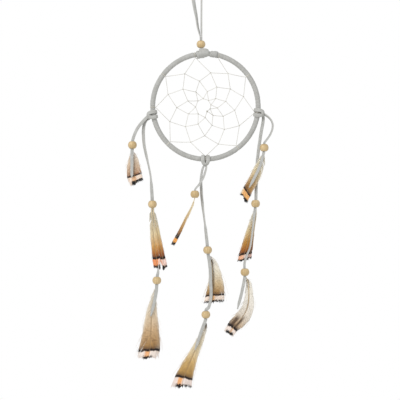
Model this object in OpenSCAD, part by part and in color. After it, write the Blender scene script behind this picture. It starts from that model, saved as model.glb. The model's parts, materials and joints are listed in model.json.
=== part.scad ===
// Dream catcher: a lace-wrapped hoop with a thread web, hung by a beaded loop,
// with three folded laces that carry wooden beads and feathers.
// Origin: the inside of the hanging loop's top, where a hook bears.
// +Z is up, the front faces -Y, and the hoop lies in the XZ plane.

/* [Hoop] */
// Outside diameter of the wrapped hoop
hoop_outer_d = 100; // [80:0.5:130]
// Diameter of the steel wire inside the wrapping
wire_d = 2.4; // [1.6:0.1:3.6]
// Thickness of the lace wrapping on the wire
wrap_t = 1.1; // [0.8:0.1:1.6]
// Drop from the hook to the top of the hoop's wire
hoop_drop = 64.3; // [50:0.1:90]
// How far the hoop's middle hangs to the right of the hook
hoop_shift = 7; // [4:0.5:10]

/* [Web] */
// Diameter of the web's thread
thread_d = 0.5; // [0.3:0.05:0.8]
// Number of hitches round the hoop
hitch_count = 9; // [9:1:9]
// Number of the last stitch, counted from the first hitch
last_stitch = 46; // [28:1:46]
// How far the first round is drawn in, as a share of the radius
first_pull = 0.845; // [0.75:0.005:0.9]

/* [Lace] */
// Width of the flat lace
lace_w = 3; // [2:0.1:4]
// Thickness of the flat lace
lace_t = 1.2; // [0.8:0.02:1.6]
// Gap between the loop's two strands where they go through the top bead
strand_gap = 0.1; // [0.05:0.05:0.4]

/* [Ties] */
// Width of each turn that a tie takes round the hoop
turn_w = 3.6; // [2.8:0.1:4.4]
// Gap between a tie's two turns, where the web's thread comes through
turn_gap = 1; // [0.8:0.1:1.4]
// Running clearance between a tie and the wrapped hoop
tie_clear = 0.2; // [0.1:0.05:0.4]
// Clearance between the loop's knot and the wrapped hoop
knot_clear = 0.3; // [0.2:0.05:0.5]
// Play that the hanging loop keeps above the knot, and the bead on it
knot_gap = 0.5; // [0.2:0.1:1]
// Inside radius of the bight that the strands leave by
bight_r = 1.1; // [0.8:0.1:1.5]

/* [Beads] */
// Outside diameter of a wooden bead
bead_d = 8; // [6:0.2:10]
// Play round the loop's two strands in a bead's hole, on the diameter
hole_clear = 0.295; // [0.1:0.005:1.2]

/* [Feathers] */
// Diameter of a feather's quill
quill_d = 1; // [0.6:0.1:1.4]
// Thickness of a feather's vane
vane_t = 0.8; // [0.4:0.02:1.2]
// Gap between a quill and the lace beside it
quill_gap = 0.25; // [0.1:0.05:0.5]

/* [Hidden] */
$fn = 48;

lace_colour = [0.69, 0.71, 0.70];
wood_colour = [0.80, 0.70, 0.52];
thread_colour = [0.90, 0.88, 0.82];
wire_colour = [0.55, 0.56, 0.58];
feather_colour = [0.66, 0.52, 0.38];

wrap_r = wire_d / 2 + wrap_t;
ring_r = hoop_outer_d / 2 - wrap_r;
hoop_centre = [hoop_shift, 0, -hoop_drop - ring_r];
wire_fit = 0.02;
bead_hole_d = 2 * norm([lace_t + strand_gap / 2, lace_w / 2]) + hole_clear;

// Degrees that a length takes along the hoop's wire.
function arc(length) = length / ring_r * 180 / PI;

// The wrapping's tucked end stands out of the round as a short collar.
collar_t = 0.5;
collar_w = 4.5;

// Angles round the hoop, from +X towards +Z, in degrees.
left_angle = -171;
bottom_angle = -90;
right_angle = -7;
loop_angle = 91;
knot_turn_angle = loop_angle + arc(5.41);
wrap_end_angle = loop_angle - arc(9.16);
hitch_angles = [
    wrap_end_angle - arc(collar_w / 2 + thread_d / 2 + 1.66), 36, right_angle, -52, bottom_angle, -135,
    left_angle - arc(turn_w + turn_gap / 2 + thread_d / 2 + 2.31), -217,
    knot_turn_angle - 360 + arc(turn_w / 2 + thread_d / 2 + 1.3),
];

// The loop's knot: a round lump over the wire, which the top bead rests above.
lump_w = 9;
lump_edge = 1.6;
lump_out = 0.7;
lump_front = 0.9;
lump_r = wrap_r + knot_clear + lump_out;
knot_top = hoop_centre[2] + ring_r + lump_out + lump_r;

// Distance from the wire to the outside of a tie's bight, which bites into its turns.
bight_bite = 0.2;
bight_at = wrap_r + tie_clear + lace_t - bight_bite;
tie_reach = bight_at + bight_r + lace_t;

// The strands' routes are drawn for this hoop, and each one moves with its tie.
drawn_reach_r = 53.5;
drawn_centre = [7, 0, -112];
drawn_loop_end = [3, 0, -59.8];
drawn_mouth = 3.405;

/* ---- Places and routes ---- */

// Point at a distance r from the middle of a hoop, at an angle.
function round_hoop(centre, r, angle) = centre + r * [cos(angle), 0, sin(angle)];

// How far a strand moves from its drawn place, with the tie at that angle.
function moved(angle) =
    round_hoop(hoop_centre, ring_r + tie_reach, angle) - round_hoop(drawn_centre, drawn_reach_r, angle);

function shifted(route, angle) = [for (p = route) p + moved(angle)];

// The loop hangs from the hook at the origin and ends above the knot, so its drawn
// points lean and stretch between the two.
loop_end = [hoop_shift - 4, 0, knot_top + knot_gap];
strand = (lace_t + strand_gap) / 2;
drawn_loop = [
    [3 - strand, 0, -59.8], [3 - strand, 0, -53], [2.75 - strand, 0, -50], [1.2, 0, -46], [0.1, 0, -40],
    [-1.2, 0, -31], [-2.6, 0, -22], [-3.7, 0, -14], [-4.1, 0, -8], [-3.3, 0, -3], [-1.9, 0, -0.4],
    [-0.2, 0, 0.6], [1.5, 0, -0.2], [2.9, 0, -2.8], [3.6, 0, -7.5], [3.5, 0, -16], [3.4, 0, -30],
    [2.65 + strand, 0, -44], [3 + strand, 0, -52], [3 + strand, 0, -59.8],
];
loop_route = [
    for (p = drawn_loop) let (share = max(0, p[2] / drawn_loop_end[2]))
        p + share * (loop_end - drawn_loop_end)
];
left_short_route = [
    [-47, -0.9, -123], [-49.8, -1.1, -126], [-52.5, -1.4, -129.3], [-55, -1.7, -133], [-57, -1.9, -137.5],
    [-58.6, -2, -142.5], [-59, -2, -147], [-59.1, -2, -149.8],
];
left_short_tail_route = [[-59.2, -2, -151], [-59.4, -2, -159], [-59.5, -2, -168], [-59.5, -2, -176.5]];
left_long_route = [
    [-47.6, 0.9, -123.6], [-49, 1, -128.5], [-49.2, 1, -137], [-48.4, 1, -147.5], [-45.5, 1, -161],
    [-42.8, 1, -174], [-41.7, 1, -187], [-41.1, 1, -198], [-40.9, 1, -207], [-40.2, 1, -217],
    [-38.8, 1, -230], [-37.2, 1, -243], [-35.9, 1, -253], [-35.6, 1, -260],
];
left_end_route = [
    [-35.8, 1, -261], [-36.7, 1, -266.5], [-37, 1, -272], [-37.6, 1, -279.5], [-39.4, 1, -289.5], [-42.5, 1, -302],
];
bottom_short_route = [
    [7.8, -0.9, -166.6], [7, -1.3, -170.5], [5, -2.2, -176.5], [1.5, -3.2, -182.5], [-2.2, -4, -187],
    [-2.5, -4, -191], [-2.6, -4, -194.6],
];
bottom_long_route = [
    [5.2, 0.9, -166.6], [3.8, 1, -171.5], [3, 1, -178], [3.3, 1, -188], [4.2, 1, -199], [5.7, 1, -212],
    [7.4, 1, -225], [8.6, 1, -236], [9.1, 1, -243], [10.2, 1, -250], [11.4, 1, -260], [11.7, 1, -271],
    [12.1, 1, -280], [11.6, 1, -287.5], [10.2, 1, -293.5],
];
bottom_end_route = [
    [9.6, 1, -294.5], [7.7, 1, -296.1], [7.4, 1, -300.5], [7.2, 1, -305], [4.5, 1, -312.5], [1.2, 1, -322],
    [-2.5, 1, -332.5],
];
right_short_route = [
    [61.6, -0.9, -120], [64.2, -1.2, -122], [66.6, -1.7, -125], [67.8, -2.3, -129], [67.2, -3, -133.5],
    [65, -3.6, -138.5], [61.6, -4, -143.2], [60.2, -4, -145.3], [60, -4, -149.5], [59.9, -4, -152.7],
];
right_short_tail_route = [
    [59.7, -4, -153.5], [58.4, -4.2, -159], [55.8, -4.4, -167], [51.5, -4.5, -176], [46.5, -4.5, -185.5],
];
right_long_route = [
    [59.4, 0.9, -121.6], [59.2, 1, -126], [57.8, 1, -133.5], [56.4, 1, -142.5], [54.9, 1, -153], [53.7, 1, -165],
    [53.2, 1, -178], [52.9, 1, -191], [52.4, 1, -201], [51.3, 1, -210], [50.1, 1, -220], [48.8, 1, -231],
    [47.2, 1, -240], [44.6, 1, -246.5], [42.6, 1, -253],
];
right_end_route = [
    [42.4, 1, -254], [42.5, 1, -259], [42.9, 1, -264], [41.8, 1, -271.5], [39.3, 1, -283], [36, 1, -295.5],
];

// Middles of the beads, on their strands.
top_bead_at = [loop_end[0], 0, knot_top + knot_gap + bead_d / 2];
left_short_bead_at = [-59, -2, -147] + moved(left_angle);
left_middle_bead_at = [-41, 1, -200.5] + moved(left_angle);
left_end_bead_at = [-37, 1, -269.5] + moved(left_angle);
bottom_short_bead_at = [-2.5, -4, -191.5] + moved(bottom_angle);
bottom_middle_bead_at = [9, 1, -242] + moved(bottom_angle);
bottom_end_bead_at = [7.4, 1, -300.5] + moved(bottom_angle);
right_short_bead_at = [60, -4, -149.5] + moved(right_angle);
right_middle_bead_at = [52.4, 1, -200] + moved(right_angle);
right_end_bead_at = [42.8, 1, -262] + moved(right_angle);

// A quill lies beside the lace in its bead's hole.
quill_seat = lace_t / 2 + quill_d / 2 + quill_gap;

// Distance from a bead's middle to the mouth of its hole, where the quills start.
bead_mouth = sqrt(pow(bead_d / 2, 2) - pow(bead_hole_d / 2, 2));

// Each feather: [across, down, width] from its bead's middle, quill first.
left_short_vane = [
    [-0.1, -4, 1], [0.2, -6.5, 4], [0.5, -11, 8.5], [0.7, -18, 12.2], [1.3, -25, 13.6], [2.8, -31.5, 12.5],
    [3.5, -34.5, 9],
];
left_middle_vane_a = [
    [-0.6, -3.6, 1], [-0.5, -9.5, 1.6], [0, -16.5, 2.2], [1.4, -32, 4], [3.4, -48, 5], [4.5, -58, 5.6],
];
left_middle_vane_b = [
    [0.6, -3.6, 1], [1.4, -9.5, 1.6], [2.6, -16.5, 2.2], [5.8, -32, 4], [9.2, -48, 5.4], [11.2, -58, 6],
];
left_end_vane = [
    [0, -3.6, 1], [-1.2, -9.5, 3.5], [-3.5, -19.5, 7], [-4.8, -29.5, 10.5], [-5.2, -42.5, 14],
    [-5.7, -58.5, 18.5], [-7, -66.5, 15], [-7.8, -70, 10],
];
bottom_short_vane = [
    [-0.1, -3.6, 1], [-2.5, -10.5, 1.8], [-8, -21.5, 2.4], [-14.5, -35, 3], [-19.5, -43.5, 3.2], [-20.3, -45, 2],
];
bottom_middle_vane = [
    [0.3, -3.6, 1], [2.5, -8, 4.5], [4.5, -14, 9], [6, -21, 13], [6.8, -30, 16.5], [6.4, -39, 17.5],
    [4.8, -45, 17], [4.6, -47.5, 14],
];
bottom_end_vane = [
    [0.1, -3.6, 1], [-0.4, -8.5, 3], [-2.4, -15.5, 5.5], [-5.9, -24.5, 7.5], [-10.4, -34.5, 9.5],
    [-15.4, -45.5, 12.5], [-19.4, -55.5, 16.5], [-21.4, -61.5, 17.5], [-22, -65.5, 12],
];
right_short_vane = [
    [0, -4, 1], [-1.2, -7.5, 4], [-3, -12.5, 6.5], [-6.5, -22, 8.5], [-10.5, -30.5, 8.5],
    [-15.5, -39, 8.5], [-19, -44, 9.5], [-20, -45.5, 7],
];
right_middle_vane_a = [
    [-0.6, -3.6, 1], [-1.2, -10, 3.5], [-3.1, -18, 5.5], [-5.4, -28, 7.5], [-7.8, -38, 9],
    [-10, -46, 9.5], [-11.2, -51.5, 10],
];
right_middle_vane_b = [
    [0.6, -3.6, 1], [0.4, -12, 2], [-1.4, -24, 2.6], [-2.8, -36, 3], [-4.2, -44, 4], [-5.1, -49.5, 4],
];
right_end_vane = [
    [0.4, -3.6, 1], [2.5, -9, 4.5], [3.4, -18, 7.5], [3.2, -28, 10.5], [1.5, -35, 12], [-2.8, -41.5, 12],
    [-8.8, -47.5, 11.5], [-13.3, -53.5, 10.5], [-14.8, -56, 8],
];

/* ---- The web's thread, by rule ---- */

// The web is one thread. It hitches to the hoop, and each later stitch hooks over
// the stretch between two stitches of the round before and draws it inwards.
thread_lift = thread_d + 0.05;
hitch_r = ring_r - wrap_r - thread_d / 2 - 0.1;
pull_slope = 0.0028;
pull_bend = 0.00025;

function pull(n) = let (m = n - 12) first_pull - pull_slope * m - pull_bend * m * m;

function flat_stitch(n) = n < hitch_count
    ? hitch_r * [cos(hitch_angles[n]), sin(hitch_angles[n])]
    : pull(n) * (flat_stitch(n - hitch_count) + flat_stitch(n - hitch_count + 1)) / 2;

// The rounds lie alternately in front of and behind each other.
function stitch_depth(n) = n < hitch_count
    ? 0
    : (stitch_depth(n - hitch_count) + stitch_depth(n - hitch_count + 1)) / 2
        + (floor(n / hitch_count) % 2 == 1 ? thread_lift : -thread_lift);

function in_web(flat, depth) = hoop_centre + [flat[0], depth, flat[1]];

// The thread goes from each stitch to the place where the next round hooks over it.
thread_route = [
    for (n = [0:last_stitch])
        each concat(
            [in_web(flat_stitch(n), stitch_depth(n))],
            n + hitch_count <= last_stitch
                ? [in_web(flat_stitch(n + hitch_count), (stitch_depth(n) + stitch_depth(n + 1)) / 2)]
                : []
        )
];

/* ---- Sweeps ---- */

function unit(v) = v / norm(v);

// Direction of a route at its point i.
function heading(route, i) = unit(route[min(i + 1, len(route) - 1)] - route[max(i - 1, 0)]);

// A ring of points round route point i, w wide in the hoop's plane and d deep.
function ring(route, i, w, d, sides) =
    let (along = heading(route, i), across = unit(cross([0, 1, 0], along)), deep = cross(along, across),
        grow = 1 / cos(180 / sides))
    [for (k = [0:sides - 1]) let (a = 360 * (k + 0.5) / sides)
        route[i] + across * (w / 2 * grow * cos(a)) + deep * (d / 2 * grow * sin(a))];

// One closed solid swept along a route, with a width and a depth for each point.
module sweep(route, widths, depths, sides = 8) {
    count = len(route);
    points = [for (i = [0:count - 1]) each ring(route, i, widths[i], depths[i], sides)];
    start_face = [for (k = [0:sides - 1]) k];
    end_face = [for (k = [sides - 1:-1:0]) (count - 1) * sides + k];
    walls = [for (i = [0:count - 2], k = [0:sides - 1]) let (
            a = i * sides + k, b = i * sides + (k + 1) % sides, c = a + sides, e = b + sides)
        each [[a, c, b], [b, c, e]]];
    polyhedron(points = points, faces = concat([start_face], walls, [end_face]));
}

function same(value, route) = [for (p = route) value];

// A flat lace seen from its wide side.
module flat_lace(route) {
    color(lace_colour) sweep(route, same(lace_w, route), same(lace_t, route));
}

/* ---- Hoop, web and ties ---- */

// Puts its children on the hoop's wire: local X points outwards and local Z along the wire.
module on_hoop(angle) {
    translate(round_hoop(hoop_centre, ring_r, angle)) rotate([0, -angle, 0]) children();
}

module hoop_ring() {
    color(wire_colour) translate(hoop_centre) rotate([90, 0, 0]) rotate_extrude()
        translate([ring_r, 0]) circle(d = wire_d);
}

module hoop_wrap() {
    color(lace_colour) translate(hoop_centre) rotate([90, 0, 0]) rotate_extrude()
        translate([ring_r, 0]) difference() {
            circle(r = wrap_r);
            circle(r = wire_d / 2 + wire_fit);
        }
}

module wrap_end() {
    color(lace_colour) on_hoop(wrap_end_angle) rotate_extrude()
        translate([wrap_r + 0.1, -collar_w / 2]) square([collar_t, collar_w]);
}

module web_thread() {
    color(thread_colour) sweep(thread_route, same(thread_d, thread_route), same(thread_d, thread_route), 6);
}

// A turn of thread round the wrapped hoop at each hitch.
module web_hitches() {
    turn_r = wrap_r + thread_d / 2 + 0.05;
    color(thread_colour) for (angle = hitch_angles) on_hoop(angle)
        rotate_extrude() translate([turn_r, 0]) circle(d = thread_d, $fn = 16);
}

module web_centre_knot() {
    color(thread_colour) translate(thread_route[len(thread_route) - 1] - [0, 0, thread_d])
        sphere(d = 2 * thread_d, $fn = 16);
}

// A flat band round the hoop's wrapping, w wide.
module turn(w, clear) {
    rotate_extrude() translate([wrap_r + clear, -w / 2]) square([lace_t, w]);
}

// One of a tie's two turns. It flares away from the gap, so that the web's thread can
// spread as it comes through.
module tie_turn() {
    inside = wrap_r + tie_clear;
    near = turn_gap / 2;
    rotate_extrude() polygon([
        [inside, near], [inside + lace_t, near + lace_t], [inside + lace_t, near + turn_w], [inside, near + turn_w],
    ]);
}

// A folded lace hitched to the hoop: two turns, and the bight over them.
module tie(angle) {
    color(lace_colour) on_hoop(angle) {
        tie_turn();
        mirror([0, 0, 1]) tie_turn();
        translate([bight_at, 0, 0]) rotate([90, 90, 0]) rotate_extrude(angle = 180)
            translate([bight_r, -lace_w / 2]) square([lace_t, lace_w]);
    }
}

module left_tie() { tie(left_angle); }
module bottom_tie() { tie(bottom_angle); }
module right_tie() { tie(right_angle); }

/* ---- Hanging loop and knot ---- */

// The loop's lace stands edge-on to the front, its two strands face to face in the bead.
module hanging_loop() {
    color(lace_colour) sweep(loop_route, same(lace_t, loop_route), same(lace_w, loop_route));
}

// The loop's ends are knotted round the hoop: one turn, and a round lump under the bead.
module top_knot() {
    color(lace_colour) difference() {
        union() {
            on_hoop(knot_turn_angle) turn(turn_w, knot_clear);
            on_hoop(loop_angle) translate([lump_out, -lump_front, 0]) rotate_extrude() difference() {
                translate([0, -lump_w / 2]) square([lump_r, lump_w]);
                for (side = [-1, 1]) translate([lump_r, side * lump_w / 2]) rotate(45)
                    square(lump_edge * sqrt(2), center = true);
            }
        }
        translate(hoop_centre) rotate([90, 0, 0]) rotate_extrude()
            translate([ring_r, 0]) circle(r = wrap_r + knot_clear);
    }
}

/* ---- Beads ---- */

// A round wooden bead with a hole along Z.
module bead(at) {
    color(wood_colour) translate(at) difference() {
        sphere(d = bead_d);
        cylinder(d = bead_hole_d, h = bead_d + 2, center = true);
    }
}

module top_bead() { bead(top_bead_at); }
module left_short_bead() { bead(left_short_bead_at); }
module left_middle_bead() { bead(left_middle_bead_at); }
module left_end_bead() { bead(left_end_bead_at); }
module bottom_short_bead() { bead(bottom_short_bead_at); }
module bottom_middle_bead() { bead(bottom_middle_bead_at); }
module bottom_end_bead() { bead(bottom_end_bead_at); }
module right_short_bead() { bead(right_short_bead_at); }
module right_middle_bead() { bead(right_middle_bead_at); }
module right_end_bead() { bead(right_end_bead_at); }

/* ---- Laces ---- */

module left_short_lace() { flat_lace(shifted(left_short_route, left_angle)); }
module left_short_tail() { flat_lace(shifted(left_short_tail_route, left_angle)); }
module left_long_lace() { flat_lace(shifted(left_long_route, left_angle)); }
module left_end_lace() { flat_lace(shifted(left_end_route, left_angle)); }
module bottom_short_lace() { flat_lace(shifted(bottom_short_route, bottom_angle)); }
module bottom_long_lace() { flat_lace(shifted(bottom_long_route, bottom_angle)); }
module bottom_end_lace() { flat_lace(shifted(bottom_end_route, bottom_angle)); }
module right_short_lace() { flat_lace(shifted(right_short_route, right_angle)); }
module right_short_tail() { flat_lace(shifted(right_short_tail_route, right_angle)); }
module right_long_lace() { flat_lace(shifted(right_long_route, right_angle)); }
module right_end_lace() { flat_lace(shifted(right_end_route, right_angle)); }

/* ---- Feathers ---- */

// A feather's envelope: a thin vane that grows from its quill. seat is how far the
// quill lies behind (+) or in front (-) of the lace, and lie moves the vane further.
module feather(at, vane, seat, lie = 0) {
    route = [
        for (i = [0:len(vane) - 1])
            at + [vane[i][0], seat + (i == 0 ? 0 : lie), vane[i][1] + drawn_mouth - bead_mouth]
    ];
    widths = [for (v = vane) v[2] == 1 ? quill_d : v[2]];
    depths = [for (i = [0:len(vane) - 1]) i == 0 ? quill_d : vane_t];
    color(feather_colour) sweep(route, widths, depths);
}

// A feather seen from its edge: its vane stands in the Y direction.
module edge_feather(at, vane, depth) {
    last = len(vane) - 1;
    route = [for (v = vane) at + [v[0], 0, v[1] + drawn_mouth - bead_mouth]];
    widths = [for (i = [0:last]) i == 0 ? quill_d : min(vane[i][2], vane_t + 0.8)];
    depths = [for (i = [0:last]) i == 0 ? quill_d : depth * sin(20 + 130 * i / last)];
    color(feather_colour) sweep(route, widths, depths);
}

module left_short_feather() { feather(left_short_bead_at, left_short_vane, quill_seat); }
module left_middle_feather_a() { feather(left_middle_bead_at, left_middle_vane_a, -quill_seat); }
module left_middle_feather_b() { feather(left_middle_bead_at, left_middle_vane_b, -quill_seat); }
module left_end_feather() { feather(left_end_bead_at, left_end_vane, quill_seat); }
module bottom_short_feather() { edge_feather(bottom_short_bead_at, bottom_short_vane, 11); }
module bottom_middle_feather() { feather(bottom_middle_bead_at, bottom_middle_vane, quill_seat); }
module bottom_end_feather() { feather(bottom_end_bead_at, bottom_end_vane, quill_seat); }
module right_short_feather() { feather(right_short_bead_at, right_short_vane, quill_seat); }
module right_middle_feather_a() { feather(right_middle_bead_at, right_middle_vane_a, quill_seat); }
module right_middle_feather_b() { feather(right_middle_bead_at, right_middle_vane_b, quill_seat, vane_t + 0.6); }
module right_end_feather() { feather(right_end_bead_at, right_end_vane, quill_seat); }

hanging_loop();
top_bead();
top_knot();
hoop_ring();
hoop_wrap();
wrap_end();
web_thread();
web_hitches();
web_centre_knot();
left_tie();
bottom_tie();
right_tie();
left_short_lace();
left_short_tail();
left_long_lace();
left_end_lace();
bottom_short_lace();
bottom_long_lace();
bottom_end_lace();
right_short_lace();
right_short_tail();
right_long_lace();
right_end_lace();
left_short_bead();
left_middle_bead();
left_end_bead();
bottom_short_bead();
bottom_middle_bead();
bottom_end_bead();
right_short_bead();
right_middle_bead();
right_end_bead();
left_short_feather();
left_middle_feather_a();
left_middle_feather_b();
left_end_feather();
bottom_short_feather();
bottom_middle_feather();
bottom_end_feather();
right_short_feather();
right_middle_feather_a();
right_middle_feather_b();
right_end_feather();
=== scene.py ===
"""Looks of a small dream catcher.

A hoop wound with suede lace holds a thread web. It hangs by a beaded lace loop, and
three folded laces below carry wooden beads and barred feathers. Lengths are written
in millimetres and turned into metres where meshes are made.
"""

from __future__ import annotations

import json
import logging
import math
import random
from dataclasses import dataclass, field
from enum import Enum
from typing import Sequence

import bmesh
import bpy
from mathutils import Matrix, Vector, noise

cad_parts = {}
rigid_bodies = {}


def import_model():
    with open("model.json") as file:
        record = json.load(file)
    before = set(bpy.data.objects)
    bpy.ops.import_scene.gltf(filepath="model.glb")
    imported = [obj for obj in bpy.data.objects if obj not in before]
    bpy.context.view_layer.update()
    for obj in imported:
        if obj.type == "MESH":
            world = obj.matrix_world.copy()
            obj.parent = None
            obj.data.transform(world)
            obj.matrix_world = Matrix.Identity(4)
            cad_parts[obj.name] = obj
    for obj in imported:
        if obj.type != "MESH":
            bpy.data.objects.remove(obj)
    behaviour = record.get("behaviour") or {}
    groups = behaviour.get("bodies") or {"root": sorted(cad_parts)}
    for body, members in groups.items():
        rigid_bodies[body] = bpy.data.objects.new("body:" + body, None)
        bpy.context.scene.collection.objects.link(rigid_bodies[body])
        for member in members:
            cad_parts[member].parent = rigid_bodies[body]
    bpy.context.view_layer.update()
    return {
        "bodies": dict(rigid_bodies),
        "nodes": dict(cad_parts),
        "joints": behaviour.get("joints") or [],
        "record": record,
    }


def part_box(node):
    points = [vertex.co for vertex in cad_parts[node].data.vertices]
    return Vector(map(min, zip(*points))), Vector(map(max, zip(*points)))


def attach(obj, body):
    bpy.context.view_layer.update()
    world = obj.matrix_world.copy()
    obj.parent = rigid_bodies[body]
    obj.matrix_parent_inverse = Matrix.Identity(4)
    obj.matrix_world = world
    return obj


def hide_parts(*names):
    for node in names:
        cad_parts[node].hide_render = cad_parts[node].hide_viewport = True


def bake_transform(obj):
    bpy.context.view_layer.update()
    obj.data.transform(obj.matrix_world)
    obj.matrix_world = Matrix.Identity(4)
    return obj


log = logging.getLogger("dream_catcher")

MM = 0.001
SAME = 1e-9
FULL_TURN = 2.0 * math.pi
BAND_STEPS = 40
SWEEP_ON = 1.25
BARB_WIDTHS = (0.55, 1.0, 1.0, 0.92, 0.8, 0.35)
EDGE_ROUND = 0.42
FACE_ROUND = 0.62
FRONT = Vector((0.0, -1.0, 0.0))
UP = Vector((0.0, 0.0, 1.0))

Point = tuple[float, float, float]
Colour = tuple[float, float, float]
Outline = Sequence[tuple[float, float]]
Socket = bpy.types.NodeSocket
Value = Socket | float


# ---------------------------------------------------------------- small helpers


def linear(code: str) -> Colour:
    """Turn a screen colour into scene-linear red, green and blue.

    Args:
        code: Six hexadecimal digits, such as "B0B3B2".

    Returns:
        The three linear values.
    """
    values = [int(code[i : i + 2], 16) / 255.0 for i in (0, 2, 4)]
    red, green, blue = (v / 12.92 if v <= 0.04045 else ((v + 0.055) / 1.055) ** 2.4 for v in values)
    return (red, green, blue)


def lerp(low: float, high: float, share: float) -> float:
    """Return the value a share of the way from low to high."""
    return low + (high - low) * share


def smooth(share: float) -> float:
    """Return an eased share that starts and ends level."""
    share = min(1.0, max(0.0, share))
    return share * share * (3.0 - 2.0 * share)


def along_table(table: Sequence[tuple[float, float]], place: float) -> float:
    """Read a value from a short table of (place, value) pairs, eased between them.

    Args:
        table: Pairs in rising order of place.
        place: Where to read.

    Returns:
        The value at that place.
    """
    if place <= table[0][0]:
        return table[0][1]
    for (p0, v0), (p1, v1) in zip(table, table[1:]):
        if place <= p1:
            return lerp(v0, v1, smooth((place - p0) / (p1 - p0)))
    return table[-1][1]


@dataclass
class Station:
    """One cross-section of a sweep: a place and the directions of its two sides."""

    at: Vector
    across: Vector
    out: Vector
    wide: float = 1.0
    deep: float = 1.0


@dataclass
class Route:
    """A smooth line through given points, in millimetres."""

    points: Sequence[Point]

    def dense(self, per_span: int = 24) -> list[Vector]:
        """Return many points on a spline through the route's own points.

        Args:
            per_span: Points worked out between two neighbours.

        Returns:
            The points, in millimetres.
        """
        own = [Vector(p) for p in self.points]
        ends = [own[0] * 2.0 - own[1], *own, own[-1] * 2.0 - own[-2]]
        line: list[Vector] = []
        for i in range(1, len(ends) - 2):
            p0, p1, p2, p3 = ends[i - 1 : i + 3]
            for k in range(per_span):
                t = k / per_span
                line.append(
                    0.5 * (
                        p1 * 2.0 + (p2 - p0) * t + (p0 * 2.0 - p1 * 5.0 + p2 * 4.0 - p3) * t**2
                        + (p1 * 3.0 - p0 - p2 * 3.0 + p3) * t**3
                    )
                )
        line.append(own[-1])
        return line

    def spaced(self, step: float) -> list[Vector]:
        """Return points an even distance apart along the spline.

        Args:
            step: Wished distance between points, in millimetres.

        Returns:
            The points, in millimetres, with both ends kept.
        """
        line = self.dense()
        lengths = [0.0]
        for a, b in zip(line, line[1:]):
            lengths.append(lengths[-1] + (b - a).length)
        count = max(2, round(lengths[-1] / step))
        made: list[Vector] = []
        i = 0
        for k in range(count + 1):
            want = lengths[-1] * k / count
            while i < len(line) - 2 and lengths[i + 1] < want:
                i += 1
            span = max(1e-9, lengths[i + 1] - lengths[i])
            made.append(line[i].lerp(line[i + 1], min(1.0, (want - lengths[i]) / span)))
        return made


def headings(line: Sequence[Vector]) -> list[Vector]:
    """Return the direction of a line at each of its points."""
    last = len(line) - 1
    return [(line[min(i + 1, last)] - line[max(i - 1, 0)]).normalized() for i in range(last + 1)]


def turned(vector: Vector, axis: Vector, degrees: float) -> Vector:
    """Return a vector turned about an axis by an angle in degrees."""
    return Matrix.Rotation(math.radians(degrees), 3, axis) @ vector


def face_out(stations: Sequence[Station]) -> None:
    """Turn each station's side square to the line that the stations make."""
    for station, heading in zip(stations, headings([s.at for s in stations])):
        station.across = heading.cross(station.out).normalized()


def rounded_strip(width: float, thickness: float, count: int = 14) -> list[tuple[float, float]]:
    """Return the outline of a flat lace's section with soft edges.

    Args:
        width: Across the lace.
        thickness: Through the lace.
        count: Points round the outline.

    Returns:
        Pairs of (across, out) in the lengths' own unit.
    """
    made: list[tuple[float, float]] = []
    for k in range(count):
        a = FULL_TURN * (k + 0.5) / count
        c, s = math.cos(a), math.sin(a)
        across = math.copysign(abs(c) ** EDGE_ROUND, c) * width / 2.0
        made.append((across, math.copysign(abs(s) ** FACE_ROUND, s) * thickness / 2.0))
    return made


def round_section(diameter: float, count: int = 8) -> list[tuple[float, float]]:
    """Return the outline of a round section as (across, out) pairs."""
    angles = [FULL_TURN * k / count for k in range(count)]
    return [(math.cos(a) * diameter / 2.0, math.sin(a) * diameter / 2.0) for a in angles]


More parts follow.
